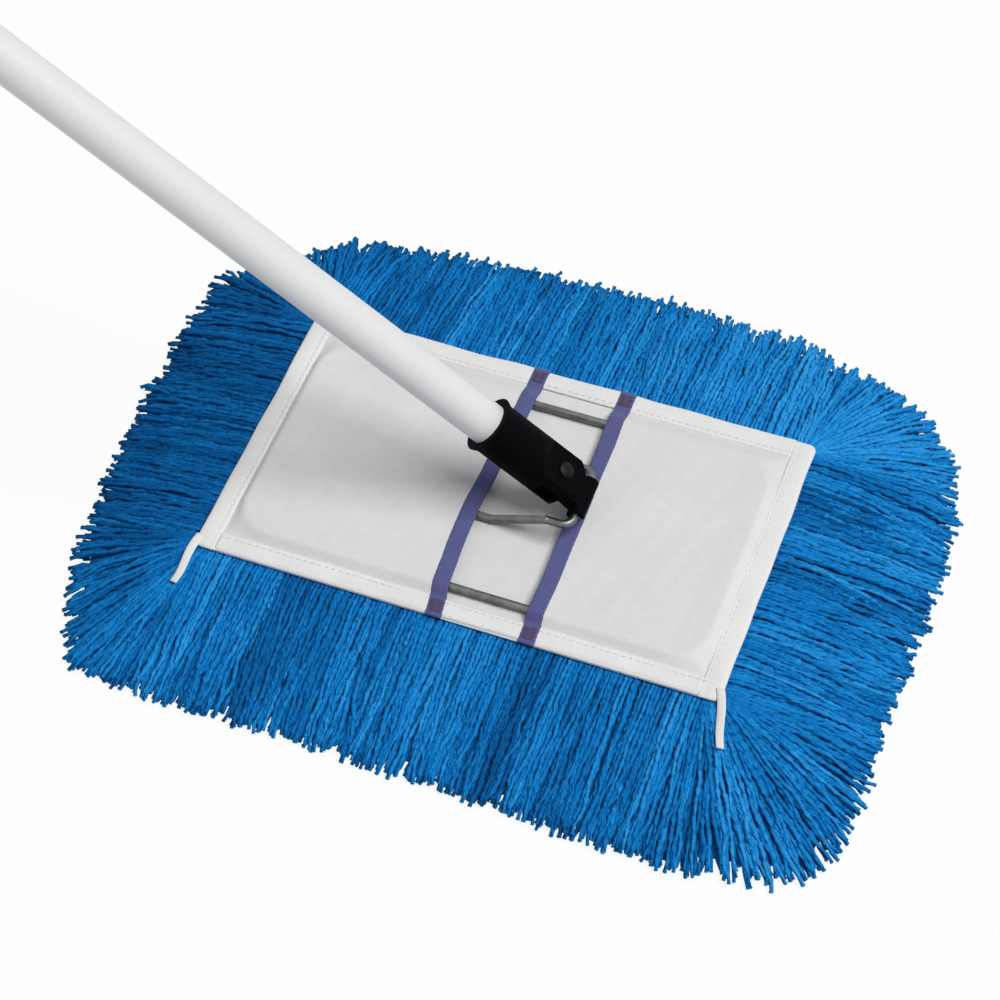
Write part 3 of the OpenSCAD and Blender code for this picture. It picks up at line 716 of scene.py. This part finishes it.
def strand_waves(d, rng):
    """Sideways and upward waves of strands, at distances along them."""
    sway = np.zeros_like(d)
    bob = np.zeros_like(d)
    for length, height in STRAND_WAVES:
        stretch = rng.uniform(*WAVE_STRETCH, (len(d), 1))
        sway += height * np.sin(2 * np.pi * d / length * stretch + any_turn(len(d), rng))
        bob += height * BOB * np.sin(2 * np.pi * d / length * stretch + any_turn(len(d), rng))
    return sway, bob


def strand_height(t, layer, bob, lift, rng):
    """Height of strands, which can't rise into the cloth or sink into the floor."""
    level = np.clip(layer.level + rng.normal(0, LEVEL_SPREAD, len(t)), 0, 1)[:, None]
    z = layer.radius + level * (yarn_height(t) - 2 * layer.radius)
    z = z + bob * np.clip(t * 4, 0, 1) + lift[:, None] * np.sin(np.pi * t)
    z = np.minimum(z, np.where(t < AT_CLOTH, UNDER_CLOTH, OVER_FRINGE))
    return np.maximum(z, layer.radius * ON_FLOOR)


def fringe_layer(side, layer, seed):
    """One layer of strands on one side."""
    rng = np.random.default_rng(seed)
    foot, out, length, place, light = feet(side, layer.pitch, rng)
    count = len(foot)
    lock_drift, lock_cut, lock_tone, pull = gather(place, layer.level, seed, rng)
    drift = lock_drift + rng.normal(0, STRAND_DRIFT, count) + pull
    loose = rng.random(count) < layer.stray
    drift[loose] += rng.normal(0, LOOSE_DRIFT, loose.sum())
    lift = np.zeros(count)
    lift[loose] = rng.uniform(*LOOSE_LIFT, loose.sum())
    reach = length + lock_cut + rng.normal(*STRAND_CUT, count) - (1 - layer.level) * UNDERCUT
    reach = np.minimum(reach, length + OVER_REACH)[:, None]
    d = STRAND_ROOT + (reach - STRAND_ROOT) * np.linspace(0, 1, layer.points)
    t = np.clip(d / reach, 0, 1)
    sway, bob = strand_waves(d, rng)
    aside = drift[:, None] * t ** DRIFT_POWER + sway * (ROOT_SWAY + (1 - ROOT_SWAY) * t)
    z = strand_height(t, layer, bob, lift, rng)
    beside = np.stack([-out[:, 1], out[:, 0]], 1)
    xy = foot[:, None] + out[:, None] * d[..., None] + beside[:, None] * aside[..., None]
    paths = np.stack([*spin(xy, side.turn), z], -1)
    radius = layer.radius * rng.uniform(*RADIUS_SPREAD, (count, 1)) * (1 - TIP_TAPER * t ** TAPER_POWER)
    turn = 2 * np.pi * (d - STRAND_ROOT) / STRAND_TURN_L + any_turn(count, rng)
    # light carries the side's painted light and shade, added to each strand's own tone
    tone = MEAN_TONE + light + lock_tone + rng.normal(0, TONE_SPREAD, count)
    # Painted shade: strands below the lit top layers are darkened
    tone = np.clip(tone + PAINTED_DEPTH_SHADE * (layer.level - LIT_LEVEL), LEAST_TONE, 1.0)
    return tubes(paths, radius, layer.sides, STRAND_LOBE, turn, tone)


def fill_wedge(side):
    """Mass of yarn inside one side of the fringe."""
    foot, out, length, place, _ = feet(side, FILL_PITCH, np.random.default_rng(FILL_SEED))
    rows = np.array(FILL_SHARES) * length[:, None]
    d = np.concatenate([np.full((len(foot), 1), FILL_ROOT), rows], 1)
    t = np.clip(d / length[:, None], 0, 1)
    groove = FILL_GROOVE * np.sin(2 * np.pi * place / FILL_GROOVE_L)[:, None] * np.clip(t * 5, 0, 1)
    top = np.maximum(yarn_height(t) - FILL_DROP + groove, FILL_LEAST)
    xy = foot[:, None] + out[:, None] * d[..., None]
    return yarn_mass(*spin(xy, side.turn), top, np.full_like(top, FILL_BOTTOM))


def make_fringe(mat):
    """Two pieces on each side: the strands that show, and those under them with the fill."""
    for number, (name, side) in enumerate(SIDES.items()):
        top = [fringe_layer(side, layer, layer.seed + number) for layer in TOP_LAYERS]
        under = [fringe_layer(side, layer, layer.seed + number) for layer in UNDER_LAYERS]
        under.append(fill_wedge(side))
        piece("yarn_" + name, joined(top), mat, "yarn", "fringe_" + name)
        piece("yarn_" + name + "_under", joined(under), mat, "yarn")


# Sole

SOLE_SEED, SOLE_PITCH = 31, 3.1
SOLE_INSET = 2.0  # the sole lies this far inside the outline of the cloth
SOLE_TOP, SOLE_BOTTOM = 19.8, 2.2
SOLE_GROOVE, SOLE_GROOVE_L = 0.7, 3.6  # grooves in its underside
SOLE_LAYERS = ((0.0, 1.75), (1.5, 3.6))  # shift and height of each layer of strands
SOLE_LEAST = 1.7  # least height of a strand
SOLE_TONES = (0.45, 0.2)  # mean and spread
ANY_PHASE = 6.3  # just over a full turn


class Bed(NamedTuple):
    """Strands of the sole that run to two sides."""
    half_run: float  # they lie this far to both sides of the middle
    places: np.ndarray  # distances from the middle along them
    sways: tuple  # length and height of each sideways wave
    bob: tuple  # length and height of the upward wave
    jitter: float  # random way across
    axes: list  # which of across, along and up is x, y and z


BEDS = (
    Bed(118.0, np.linspace(2.5, 92.0, 15), ((50, 0.8), (21, 0.4)), (33, 0.35), jitter=0.4, axes=[0, 1, 2]),
    Bed(86.0, np.linspace(116.0, 154.0, 9), ((30, 0.7),), (22, 0.3), jitter=0.0, axes=[1, 0, 2]),
)


def outline_x(y, inset=0.0):
    """Half length of the cloth at a given y, with its round corners."""
    r = CLOTH_CORNER
    over = np.clip((np.abs(y) - (HALF_W - inset - r)) / r, 0, 1)
    return HALF_L - inset - r + r * np.sqrt(1 - over ** 2)


def cloth_grid(inset, rows, columns):
    """Grid of places over the whole cloth."""
    y = np.linspace(inset - HALF_W, HALF_W - inset, rows)
    s = np.linspace(-1, 1, columns)
    return s * outline_x(y, inset)[:, None], np.repeat(y[:, None], columns, 1)


def sole_body():
    """Grooved mass of yarn under the cloth."""
    x, y = cloth_grid(SOLE_INSET, 90, 150)
    groove = SOLE_GROOVE * np.sin(2 * np.pi * x / SOLE_GROOVE_L)
    bottom = SOLE_BOTTOM + groove + 0.25 * ripple(x, y, seed=5, size=20)
    return yarn_mass(x, y, np.full_like(x, SOLE_TOP), bottom)


def waves(d, count, rng, *terms):
    """Waves along strands. Each term is a length and a height."""
    total = 0
    for length, height in terms:
        total = total + height * np.sin(2 * np.pi * d / length + rng.uniform(0, ANY_PHASE, (count, 1)))
    return total


def sole_strands(bed, way, shift, height, rng):
    """Strands of the sole to one side."""
    d = bed.places
    across = np.arange(-bed.half_run, bed.half_run, SOLE_PITCH)[:, None] + shift
    count = len(across)
    sway = waves(d, count, rng, *bed.sways)
    if bed.jitter:
        across = across + rng.normal(0, bed.jitter, (count, 1))
    z = np.maximum(height + waves(d, count, rng, bed.bob), SOLE_LEAST)
    along = np.broadcast_to(way * d, z.shape)
    paths = np.stack([across + sway, along, z], -1)[..., bed.axes]
    turn = 2 * np.pi * d / STRAND_TURN_L + rng.uniform(0, ANY_PHASE, (count, 1))
    shade = np.clip(rng.normal(*SOLE_TONES, count), 0, 1)
    return tubes(paths, STRAND_R, STRAND_SIDES, STRAND_LOBE, turn, shade)


def make_sole(mat):
    """Yarn sewn under the cloth: a grooved mass, and strands that lie on the floor."""
    rng = np.random.default_rng(SOLE_SEED)
    parts = [sole_body()]
    for shift, height in SOLE_LAYERS:
        for bed in BEDS:
            parts += [sole_strands(bed, way, shift, height, rng) for way in (-1, 1)]
    piece("yarn_sole_strands", joined(parts), mat, "yarn", "yarn_sole")


# Cloth

CLOTH_INSET = 0.4  # the cloth ends this far inside its tapes
BACKING_T = 1.0
FLAT_HALF_W = 77.0  # the backing cloth only dips within this distance of the middle line
SAG, SAG_RUN, WRINKLE_RUN = 0.8, 12.0, 8.0  # a pocket's cloth sags and wrinkles away from the wires
ROUND_SHARE = 0.45  # share of its slope from the wire to the hem that is eased
POCKET_SLOPE, BINDING_SLOPE = 60.0, 62.0  # the slopes lie past this, across the mop
BOW, BOW_AT, BOW_W = 2.9, -20.0, 42.0  # bow of the left mouth, its place across the mop and its width
BEND, BEND_AT, BEND_W = 2.8, -92.0, 18.0  # the same of its bend at the front
ASKEW = 0.018  # slope of the right mouth


def wire_gap(x, y):
    """Signed distance in plan from the outside of the wire loop."""
    half_y = (LOOP_BACK - LOOP_FRONT) / 2
    r = LOOP_BEND + WIRE_R
    qx = np.abs(x) - (LOOP_L + WIRE_R - r)
    qy = np.abs(y - (LOOP_BACK + LOOP_FRONT) / 2) - (half_y + WIRE_R - r)
    return np.hypot(np.maximum(qx, 0), np.maximum(qy, 0)) + np.minimum(np.maximum(qx, qy), 0) - r


def pocket_under(x, y, left):
    """Underside of a pocket's cloth, drawn over the wires and sewn down at the hem."""
    past_wire = wire_gap(x, y)
    to_hem = np.minimum(HALF_L - HEM_W - np.abs(x), HALF_W - HEM_W - np.abs(y))
    share = past_wire / np.maximum(past_wire + np.maximum(to_hem, 0), TINY)
    share = np.clip(np.where(past_wire > 0, share, 0), 0, 1)
    share = np.where(to_hem <= 0, 1.0, share)
    ease = smooth(share) * ROUND_SHARE + share * (1 - ROUND_SHARE)
    z = WIRE_TOP + (CLOTH_TOP - WIRE_TOP) * ease
    from_wire = np.maximum(-past_wire, 0)
    if left:
        from_wire = np.minimum(from_wire, np.abs(np.abs(y) - YOKE))
    sag = SAG * (1 - hump(from_wire, 0, SAG_RUN))
    wrinkle = 0.16 * ripple(x, y, seed=3 if left else 4, size=42) + 0.10 * ripple(x, y, seed=8, size=17)
    pucker = 0.08 * ripple(x, y, seed=12, size=9) * (1 - share)
    return z - sag + wrinkle * np.clip(from_wire / WRINKLE_RUN, 0, 1) + pucker


def mouth_x(y, left):
    """Middle of a mouth's binding: the left mouth bows, and the right one is a little askew."""
    if left:
        return MOUTH_LEFT - BOW * hump(y, BOW_AT, BOW_W) + BEND * hump(y, BEND_AT, BEND_W)
    return MOUTH_RIGHT - ASKEW * y


def rows_across(end, slope, end_rows, middle_rows):
    """Places across the mop, closer together on the slopes of the pockets."""
    return np.concatenate([
        np.linspace(-end, -slope, end_rows),
        np.linspace(-slope, slope, middle_rows)[1:-1],
        np.linspace(slope, end, end_rows),
    ])


def make_pocket(node, mouth, left, mat):
    """Cloth of a pocket, from its mouth to the end of the mop."""
    y = rows_across(HALF_W - CLOTH_INSET, POCKET_SLOPE, 24, 70)
    u = np.linspace(0, 1, 80)
    end_x = outline_x(y, CLOTH_INSET)[:, None] * (-1 if left else 1)
    x0 = mouth_x(y, left)[:, None]
    xx = x0 + (end_x - x0) * u
    if left:
        xx = xx[:, ::-1]
    yy = np.repeat(y[:, None], len(u), 1)
    low = pocket_under(xx, yy, left)
    obj = piece(node + "_cloth", slab(xx, yy, low + CLOTH_T, low), mat, "cloth", node)


def make_backing(mat):
    """The cloth that carries the yarn, with shallow dips between its seams."""
    x, y = cloth_grid(CLOTH_INSET, 80, 130)
    dip = 0.35 * np.abs(ripple(x, y, seed=21, size=30)) + 0.12 * np.abs(ripple(x, y, seed=22, size=11))
    top = CLOTH_TOP - np.where(np.abs(y) < FLAT_HALF_W, dip, 0)
    return piece("backing_sheet", slab(x, y, top, top - BACKING_T), mat, "cloth", "backing_cloth")


# Tapes

# Section of a folded binding: shares of its half width, and of its height over (+) and under (-) its middle
BINDING_SECTION = (
    (-1, 0), (-0.97, 0.62), (-0.86, 0.96), (-0.66, 0.9), (-0.5, 1), (0, 1.08),
    (0.5, 1), (0.66, 0.9), (0.86, 0.96), (0.97, 0.62), (1, 0),
    (0.95, -0.7), (0.8, -1), (0, -1), (-0.8, -1), (-0.95, -0.7),
)
BINDING_PUCKER_L = 3.4  # spacing of the puckers that its stitches draw
HEM_FROM, HEM_STEP = 75.5, 3.5  # a binding comes down on the hem from here, and over this distance
UNDER_BINDING = 0.3  # the binding's underside over the backing cloth, on the hem

# Section of a hem tape: share of its width from its inner edge, height over the cloth, share of its lift
HEM_SECTION = (
    (0, 0.4, 0), (-0.02, 1.05, 0), (0.03, 1.5, 1), (0.14, 1.62, 1), (0.2, 1.44, 1),
    (0.27, 1.66, 1), (0.5, 1.84, 1), (0.75, 1.74, 1), (0.9, 1.5, 1), (0.975, 1.1, 0.5),
    (1.01, 0.4, 0), (1, -0.4, 0), (0.94, -0.9, 0), (0.7, -1, 0),
)
HEM_PUCKER_L = 4.2
FRONT_HEM_OUT, BACK_HEM_OUT, END_HEM_OUT = -1.4, 0.4, 0.25  # how far a hem's edge lies out past the cloth
HEM_END_L, HEM_END_Z, HEM_END_SHARE = 2.2, 21.2, 0.85  # its ends round off over this length

TAIL_START = 7.0  # the loose ends start this far inside the edge
TAIL_REACH = 90.0  # length of the yarn that they lie on
TAIL_HEM_Z, TAIL_OVER = 23.0, 1.6  # height of their middle on the hem, and over the yarn
TAIL_HALF_T, TAIL_TAPER, TAIL_ROLL = 0.36, 0.12, 0.35
TAIL_SECTION = (
    (-1, 0), (-0.92, 1), (-0.3, 1.15), (0.3, 1.15), (0.92, 1), (1, 0), (0.92, -1), (0, -1), (-0.92, -1),
)


def binding_heights(y, left):
    """Heights of a binding's top and underside, over the edge of the pocket and on the hem."""
    under = pocket_under(mouth_x(y, left), y, left)
    on_hem = smooth(np.clip((np.abs(y) - HEM_FROM) / HEM_STEP, 0, 1))
    top = (under + CLOTH_T + TAPE) * (1 - on_hem) + (HEM_Z + TAPE) * on_hem
    low = (under - TAPE) * (1 - on_hem) + (CLOTH_TOP + UNDER_BINDING) * on_hem
    return top, low


def make_binding(node, left, mat):
    """Tape folded over the edge of a pocket, down its slopes and over the hem."""
    y = rows_across(HALF_W + CLOTH_INSET, BINDING_SLOPE, 40, 84)
    x_at = mouth_x(y, left)
    top, low = binding_heights(y, left)
    pucker = 2 * np.pi * y / BINDING_PUCKER_L
    top = top + 0.07 * np.sin(pucker) + 0.06 * ripple(x_at, y, seed=41, size=14)
    sway = 0.22 * ripple(x_at, y, seed=43 if left else 44, size=40)
    middle = (top + low) / 2
    rails = []
    for across, height in BINDING_SECTION:
        x = x_at + across * (BINDING_W / 2) + sway + 0.08 * np.sin(pucker + across)
        z = middle + abs(height) * ((top if height > 0 else low) - middle)
        rails.append((x, y, z))
    piece(node + "_tape", loft(rails), mat, "binding", node)


def hem_section(inner, outer, run, seed):
    """Places across and heights of a tape folded over the edge of the cloth, along its run."""
    lift = 0.07 * np.sin(2 * np.pi * run / HEM_PUCKER_L) + 0.10 * ripple(run, 0 * run, seed, size=30)
    for share, height, raised in HEM_SECTION:
        yield inner + share * (outer - inner), CLOTH_TOP + height + raised * lift


def make_hem_long(node, way, out, seed, mat):
    """Hem along the front or the back."""
    x = np.linspace(HEM_W - HALF_L, HALF_L - HEM_W, 190)
    edge = HALF_W + out + 0.35 * ripple(x, 0 * x, seed + 2, size=45)
    section = hem_section(HALF_W - HEM_W, edge, x, seed)
    rails = [(x, way * across, z) for across, z in section]
    return piece(node + "_tape", loft(rails), mat, "hem", node)


def hem_end_tape(way, seed):
    """Hem along an end and round its two corners."""
    straight = HALF_W - CLOTH_CORNER
    corner = np.linspace(straight, HALF_W, 14)
    y = np.concatenate([-corner[::-1], np.linspace(0.5 - straight, straight - 0.5, 100), corner])
    edge = outline_x(y) + END_HEM_OUT + 0.25 * ripple(y, 0 * y, seed + 2, size=38)
    near_end = np.clip((np.abs(y) - (HALF_W - HEM_END_L)) / HEM_END_L, 0, 1)
    fall = 1 - np.sqrt(np.clip(1 - near_end ** 2, 0, 1))
    rails = []
    for across, z in hem_section(HALF_L - HEM_W, edge, y, seed):
        rails.append((way * across, y, z + (HEM_END_Z - z) * fall * HEM_END_SHARE))
    return loft(rails)


def hem_tail(way, degrees, roll_phase):
    """Loose end of the hem tape at a front corner, which lies on the yarn."""
    s = np.linspace(0, 1, 26)
    length = TAIL_L + TAIL_START
    y = TAIL_START - HALF_W - s * length
    on_yarn = yarn_height(np.maximum(-y - HALF_W, 0) / TAIL_REACH) + TAIL_OVER
    z = np.where(-y < HALF_W + 1, TAIL_HEM_Z, on_yarn)
    z = np.convolve(np.pad(z, 3, mode="edge"), np.ones(7) / 7, "valid") + 0.5 * np.sin(s * 7.0 + way)
    turn = math.tan(math.radians(degrees))
    x = HALF_L - TAIL_W / 2 + TAIL_OUT - (1 - s) + turn * length * s + 0.5 * np.sin(s * 6)
    half = TAIL_W / 2 * (1 - TAIL_TAPER * s)
    roll = TAIL_ROLL * np.sin(s * 3.0 + roll_phase)
    rails = []
    for across, height in TAIL_SECTION:
        slant = 0.4 * across * (s > 0.97)
        z_at = z + height * TAIL_HALF_T + roll * across
        rails.append((way * (x + across * half), y + slant, z_at))
    return loft(rails)


def make_hem_end(node, way, tail_turn, roll_phase, seed, mat):
    """Hem along the left or the right end, with the tape's loose end at the front."""
    tape = hem_end_tape(way, seed)
    tail = hem_tail(way, tail_turn, roll_phase)
    base = len(tape[0])
    both = [np.concatenate([a, b + shift]) for a, b, shift in zip(tape, tail, (0, base, base))]
    return piece(node + "_tape", both, mat, "hem", node)


# Stitches

class Stitch(NamedTuple):
    length: float
    radius: float
    rise: float  # how far it arches


HEM_STITCH = Stitch(length=3.2, radius=0.27, rise=0.24)
HEM_STITCH_PITCH, HEM_STITCH_SLANT = 4.2, 0.02
HEM_STITCH_IN, HEM_STITCH_Z = 2.3, 22.42  # from the hem's inner edge to its stitches, and their height
LONG_SEAM_HALF, END_SEAM_HALF = 148.0, 76.0  # half the hem's seams along the mop, and across it
BINDING_STITCH = Stitch(length=2.6, radius=0.25, rise=0.22)
BINDING_STITCH_PITCH, BINDING_STITCH_SINK = 3.4, 0.12
BINDING_STITCH_OUT = 3.2  # from the middle of a binding to its stitches
BINDING_SEAM = (-86.7, 86.8)
TACK_STITCH = Stitch(length=7.6, radius=0.34, rise=0.30)
TACK_SEED, TACK_COUNT, TACK_PITCH, TACK_SLANT = 9, 13, 0.62, 0.10
TACK_Z = HEM_Z + TAPE + 0.1


def stitch_row(points, way, stitch):
    """Stitches at points: each arches along its way, and its ends dip into the cloth."""
    s = np.linspace(-0.5, 0.5, 6)
    arch = stitch.rise * (1 - (2 * s) ** 4) - 0.25 * (np.abs(s) > 0.45)
    paths = points[:, None] + way[:, None] * (s * stitch.length)[:, None]
    paths[..., 2] += arch
    turn = np.zeros(paths.shape[:2])
    return tubes(paths, stitch.radius, 5, 0.0, turn, shade=np.full(len(paths), MID_SHADE))


def make_hem_stitches(mat):
    """Seams along the inner edge of the hem: two along the mop, and two across it."""
    parts = []
    seams = ((LONG_SEAM_HALF, HALF_W, [0, 1, 2]), (END_SEAM_HALF, HALF_L, [1, 0, 2]))
    for half_run, half_across, axes in seams:
        run = np.arange(-half_run, half_run, HEM_STITCH_PITCH)
        along = np.tile([1.0, HEM_STITCH_SLANT, 0], (len(run), 1))
        for way in (-1, 1):
            across = np.full_like(run, way * (half_across - HEM_W + HEM_STITCH_IN))
            points = np.stack([run, across, np.full_like(run, HEM_STITCH_Z)], -1)
            parts.append(stitch_row(points[:, axes], along[:, axes], HEM_STITCH))
    return piece("hem_stitches", joined(parts), mat, "hem")


def make_binding_stitches(name, left, mat):
    """Seam along the edge of a binding that lies on the pocket."""
    y = np.arange(*BINDING_SEAM, BINDING_STITCH_PITCH)
    z = binding_heights(y, left)[0] - BINDING_STITCH_SINK
    way = np.stack([0 * y, np.ones_like(y), np.gradient(z, y)], -1)
    way /= np.linalg.norm(way, axis=1, keepdims=True)
    out = -BINDING_STITCH_OUT if left else BINDING_STITCH_OUT
    points = np.stack([mouth_x(y, left) + out, y, z], -1)
    piece(name, stitch_row(points, way, BINDING_STITCH), mat, "thread")


def make_tacks(mat):
    """Close stitches that hold the ends of the bindings."""
    rng = np.random.default_rng(TACK_SEED)
    parts = []
    for left in (True, False):
        for way in (-1, 1):
            for k in range(TACK_COUNT):
                y = way * (HALF_W - HEM_W / 2) + (k - TACK_COUNT // 2) * TACK_PITCH
                x = mouth_x(y, left) + rng.normal(0, 0.12)
                slant = np.array([[1.0, TACK_SLANT * (-1) ** k, 0.0]])
                stitch = TACK_STITCH._replace(length=TACK_STITCH.length + rng.normal(0, 0.35))
                parts.append(stitch_row(np.array([[x, y, TACK_Z]]), slant, stitch))
    return piece("tack_stitches", joined(parts), mat, "thread", "bar_tacks")


# Build

make_camera()
make_world()
make_key_light()

yarn = yarn_material()
cloth = cloth_material()
hem_tape = tape_material("hem_tape", HEM_WHITES, 0.8)
binding_tape = tape_material("binding_tape", BINDING_VIOLETS, 0.9)
white_thread = thread_material("thread_white", WHITE_THREADS)
violet_thread = thread_material("thread_violet", VIOLET_THREADS)
dark_thread = thread_material("thread_dark", DARK_THREADS)

make_fringe(yarn)
make_sole(yarn)
backing = make_backing(cloth)
make_pocket("pocket_left", MOUTH_LEFT, True, cloth)
make_pocket("pocket_right", MOUTH_RIGHT, False, cloth)
make_binding("binding_left", True, binding_tape)
make_binding("binding_right", False, binding_tape)
hems = [
    make_hem_long("hem_front", -1, FRONT_HEM_OUT, 51, hem_tape),
    make_hem_long("hem_back", 1, BACK_HEM_OUT, 52, hem_tape),
    make_hem_end("hem_left", -1, TAIL_LEFT_TURN, 1.2, 55, hem_tape),
    make_hem_end("hem_right", 1, TAIL_RIGHT_TURN, 0.5, 56, hem_tape),
]
hem_stitches = make_hem_stitches(white_thread)
make_binding_stitches("binding_stitches_left", True, violet_thread)
make_binding_stitches("binding_stitches_right", False, violet_thread)
tacks = make_tacks(dark_thread)

dressed = (
    (metal_material("zinc_wire", ZINC_GREYS, 0.38), ("frame_loop", "frame_yoke")),
    (metal_material("rivet_steel", RIVET_BLACKS, 0.5), ("swing_pin", "pin_keeper")),
    (metal_material("dark_steel", SCREW_GREYS, 0.42), ("socket_screw",)),
    (plastic_material("black_plastic", SWIVEL_BLACKS, 0.52), ("snap_clip", "socket")),
    (plastic_material("cap_plastic", CAP_BLACKS, 0.5), ("hang_cap",)),
    (coat_material(), ("handle_tube",)),
    (wood_material(), ("tube_plug",)),
)
for mat, names in dressed:
    for name in names:
        nodes[name].data.materials.clear()
        nodes[name].data.materials.append(mat)

FLOOR_HALF, FLOOR_Z = 20000.0, -0.1
floor_plan = ((-1, -1), (1, -1), (1, 1), (-1, 1))
floor = add_mesh("floor", [(x * FLOOR_HALF, y * FLOOR_HALF, FLOOR_Z) for x, y in floor_plan], [(0, 1, 2, 3)])
floor.data.materials.append(floor_material())
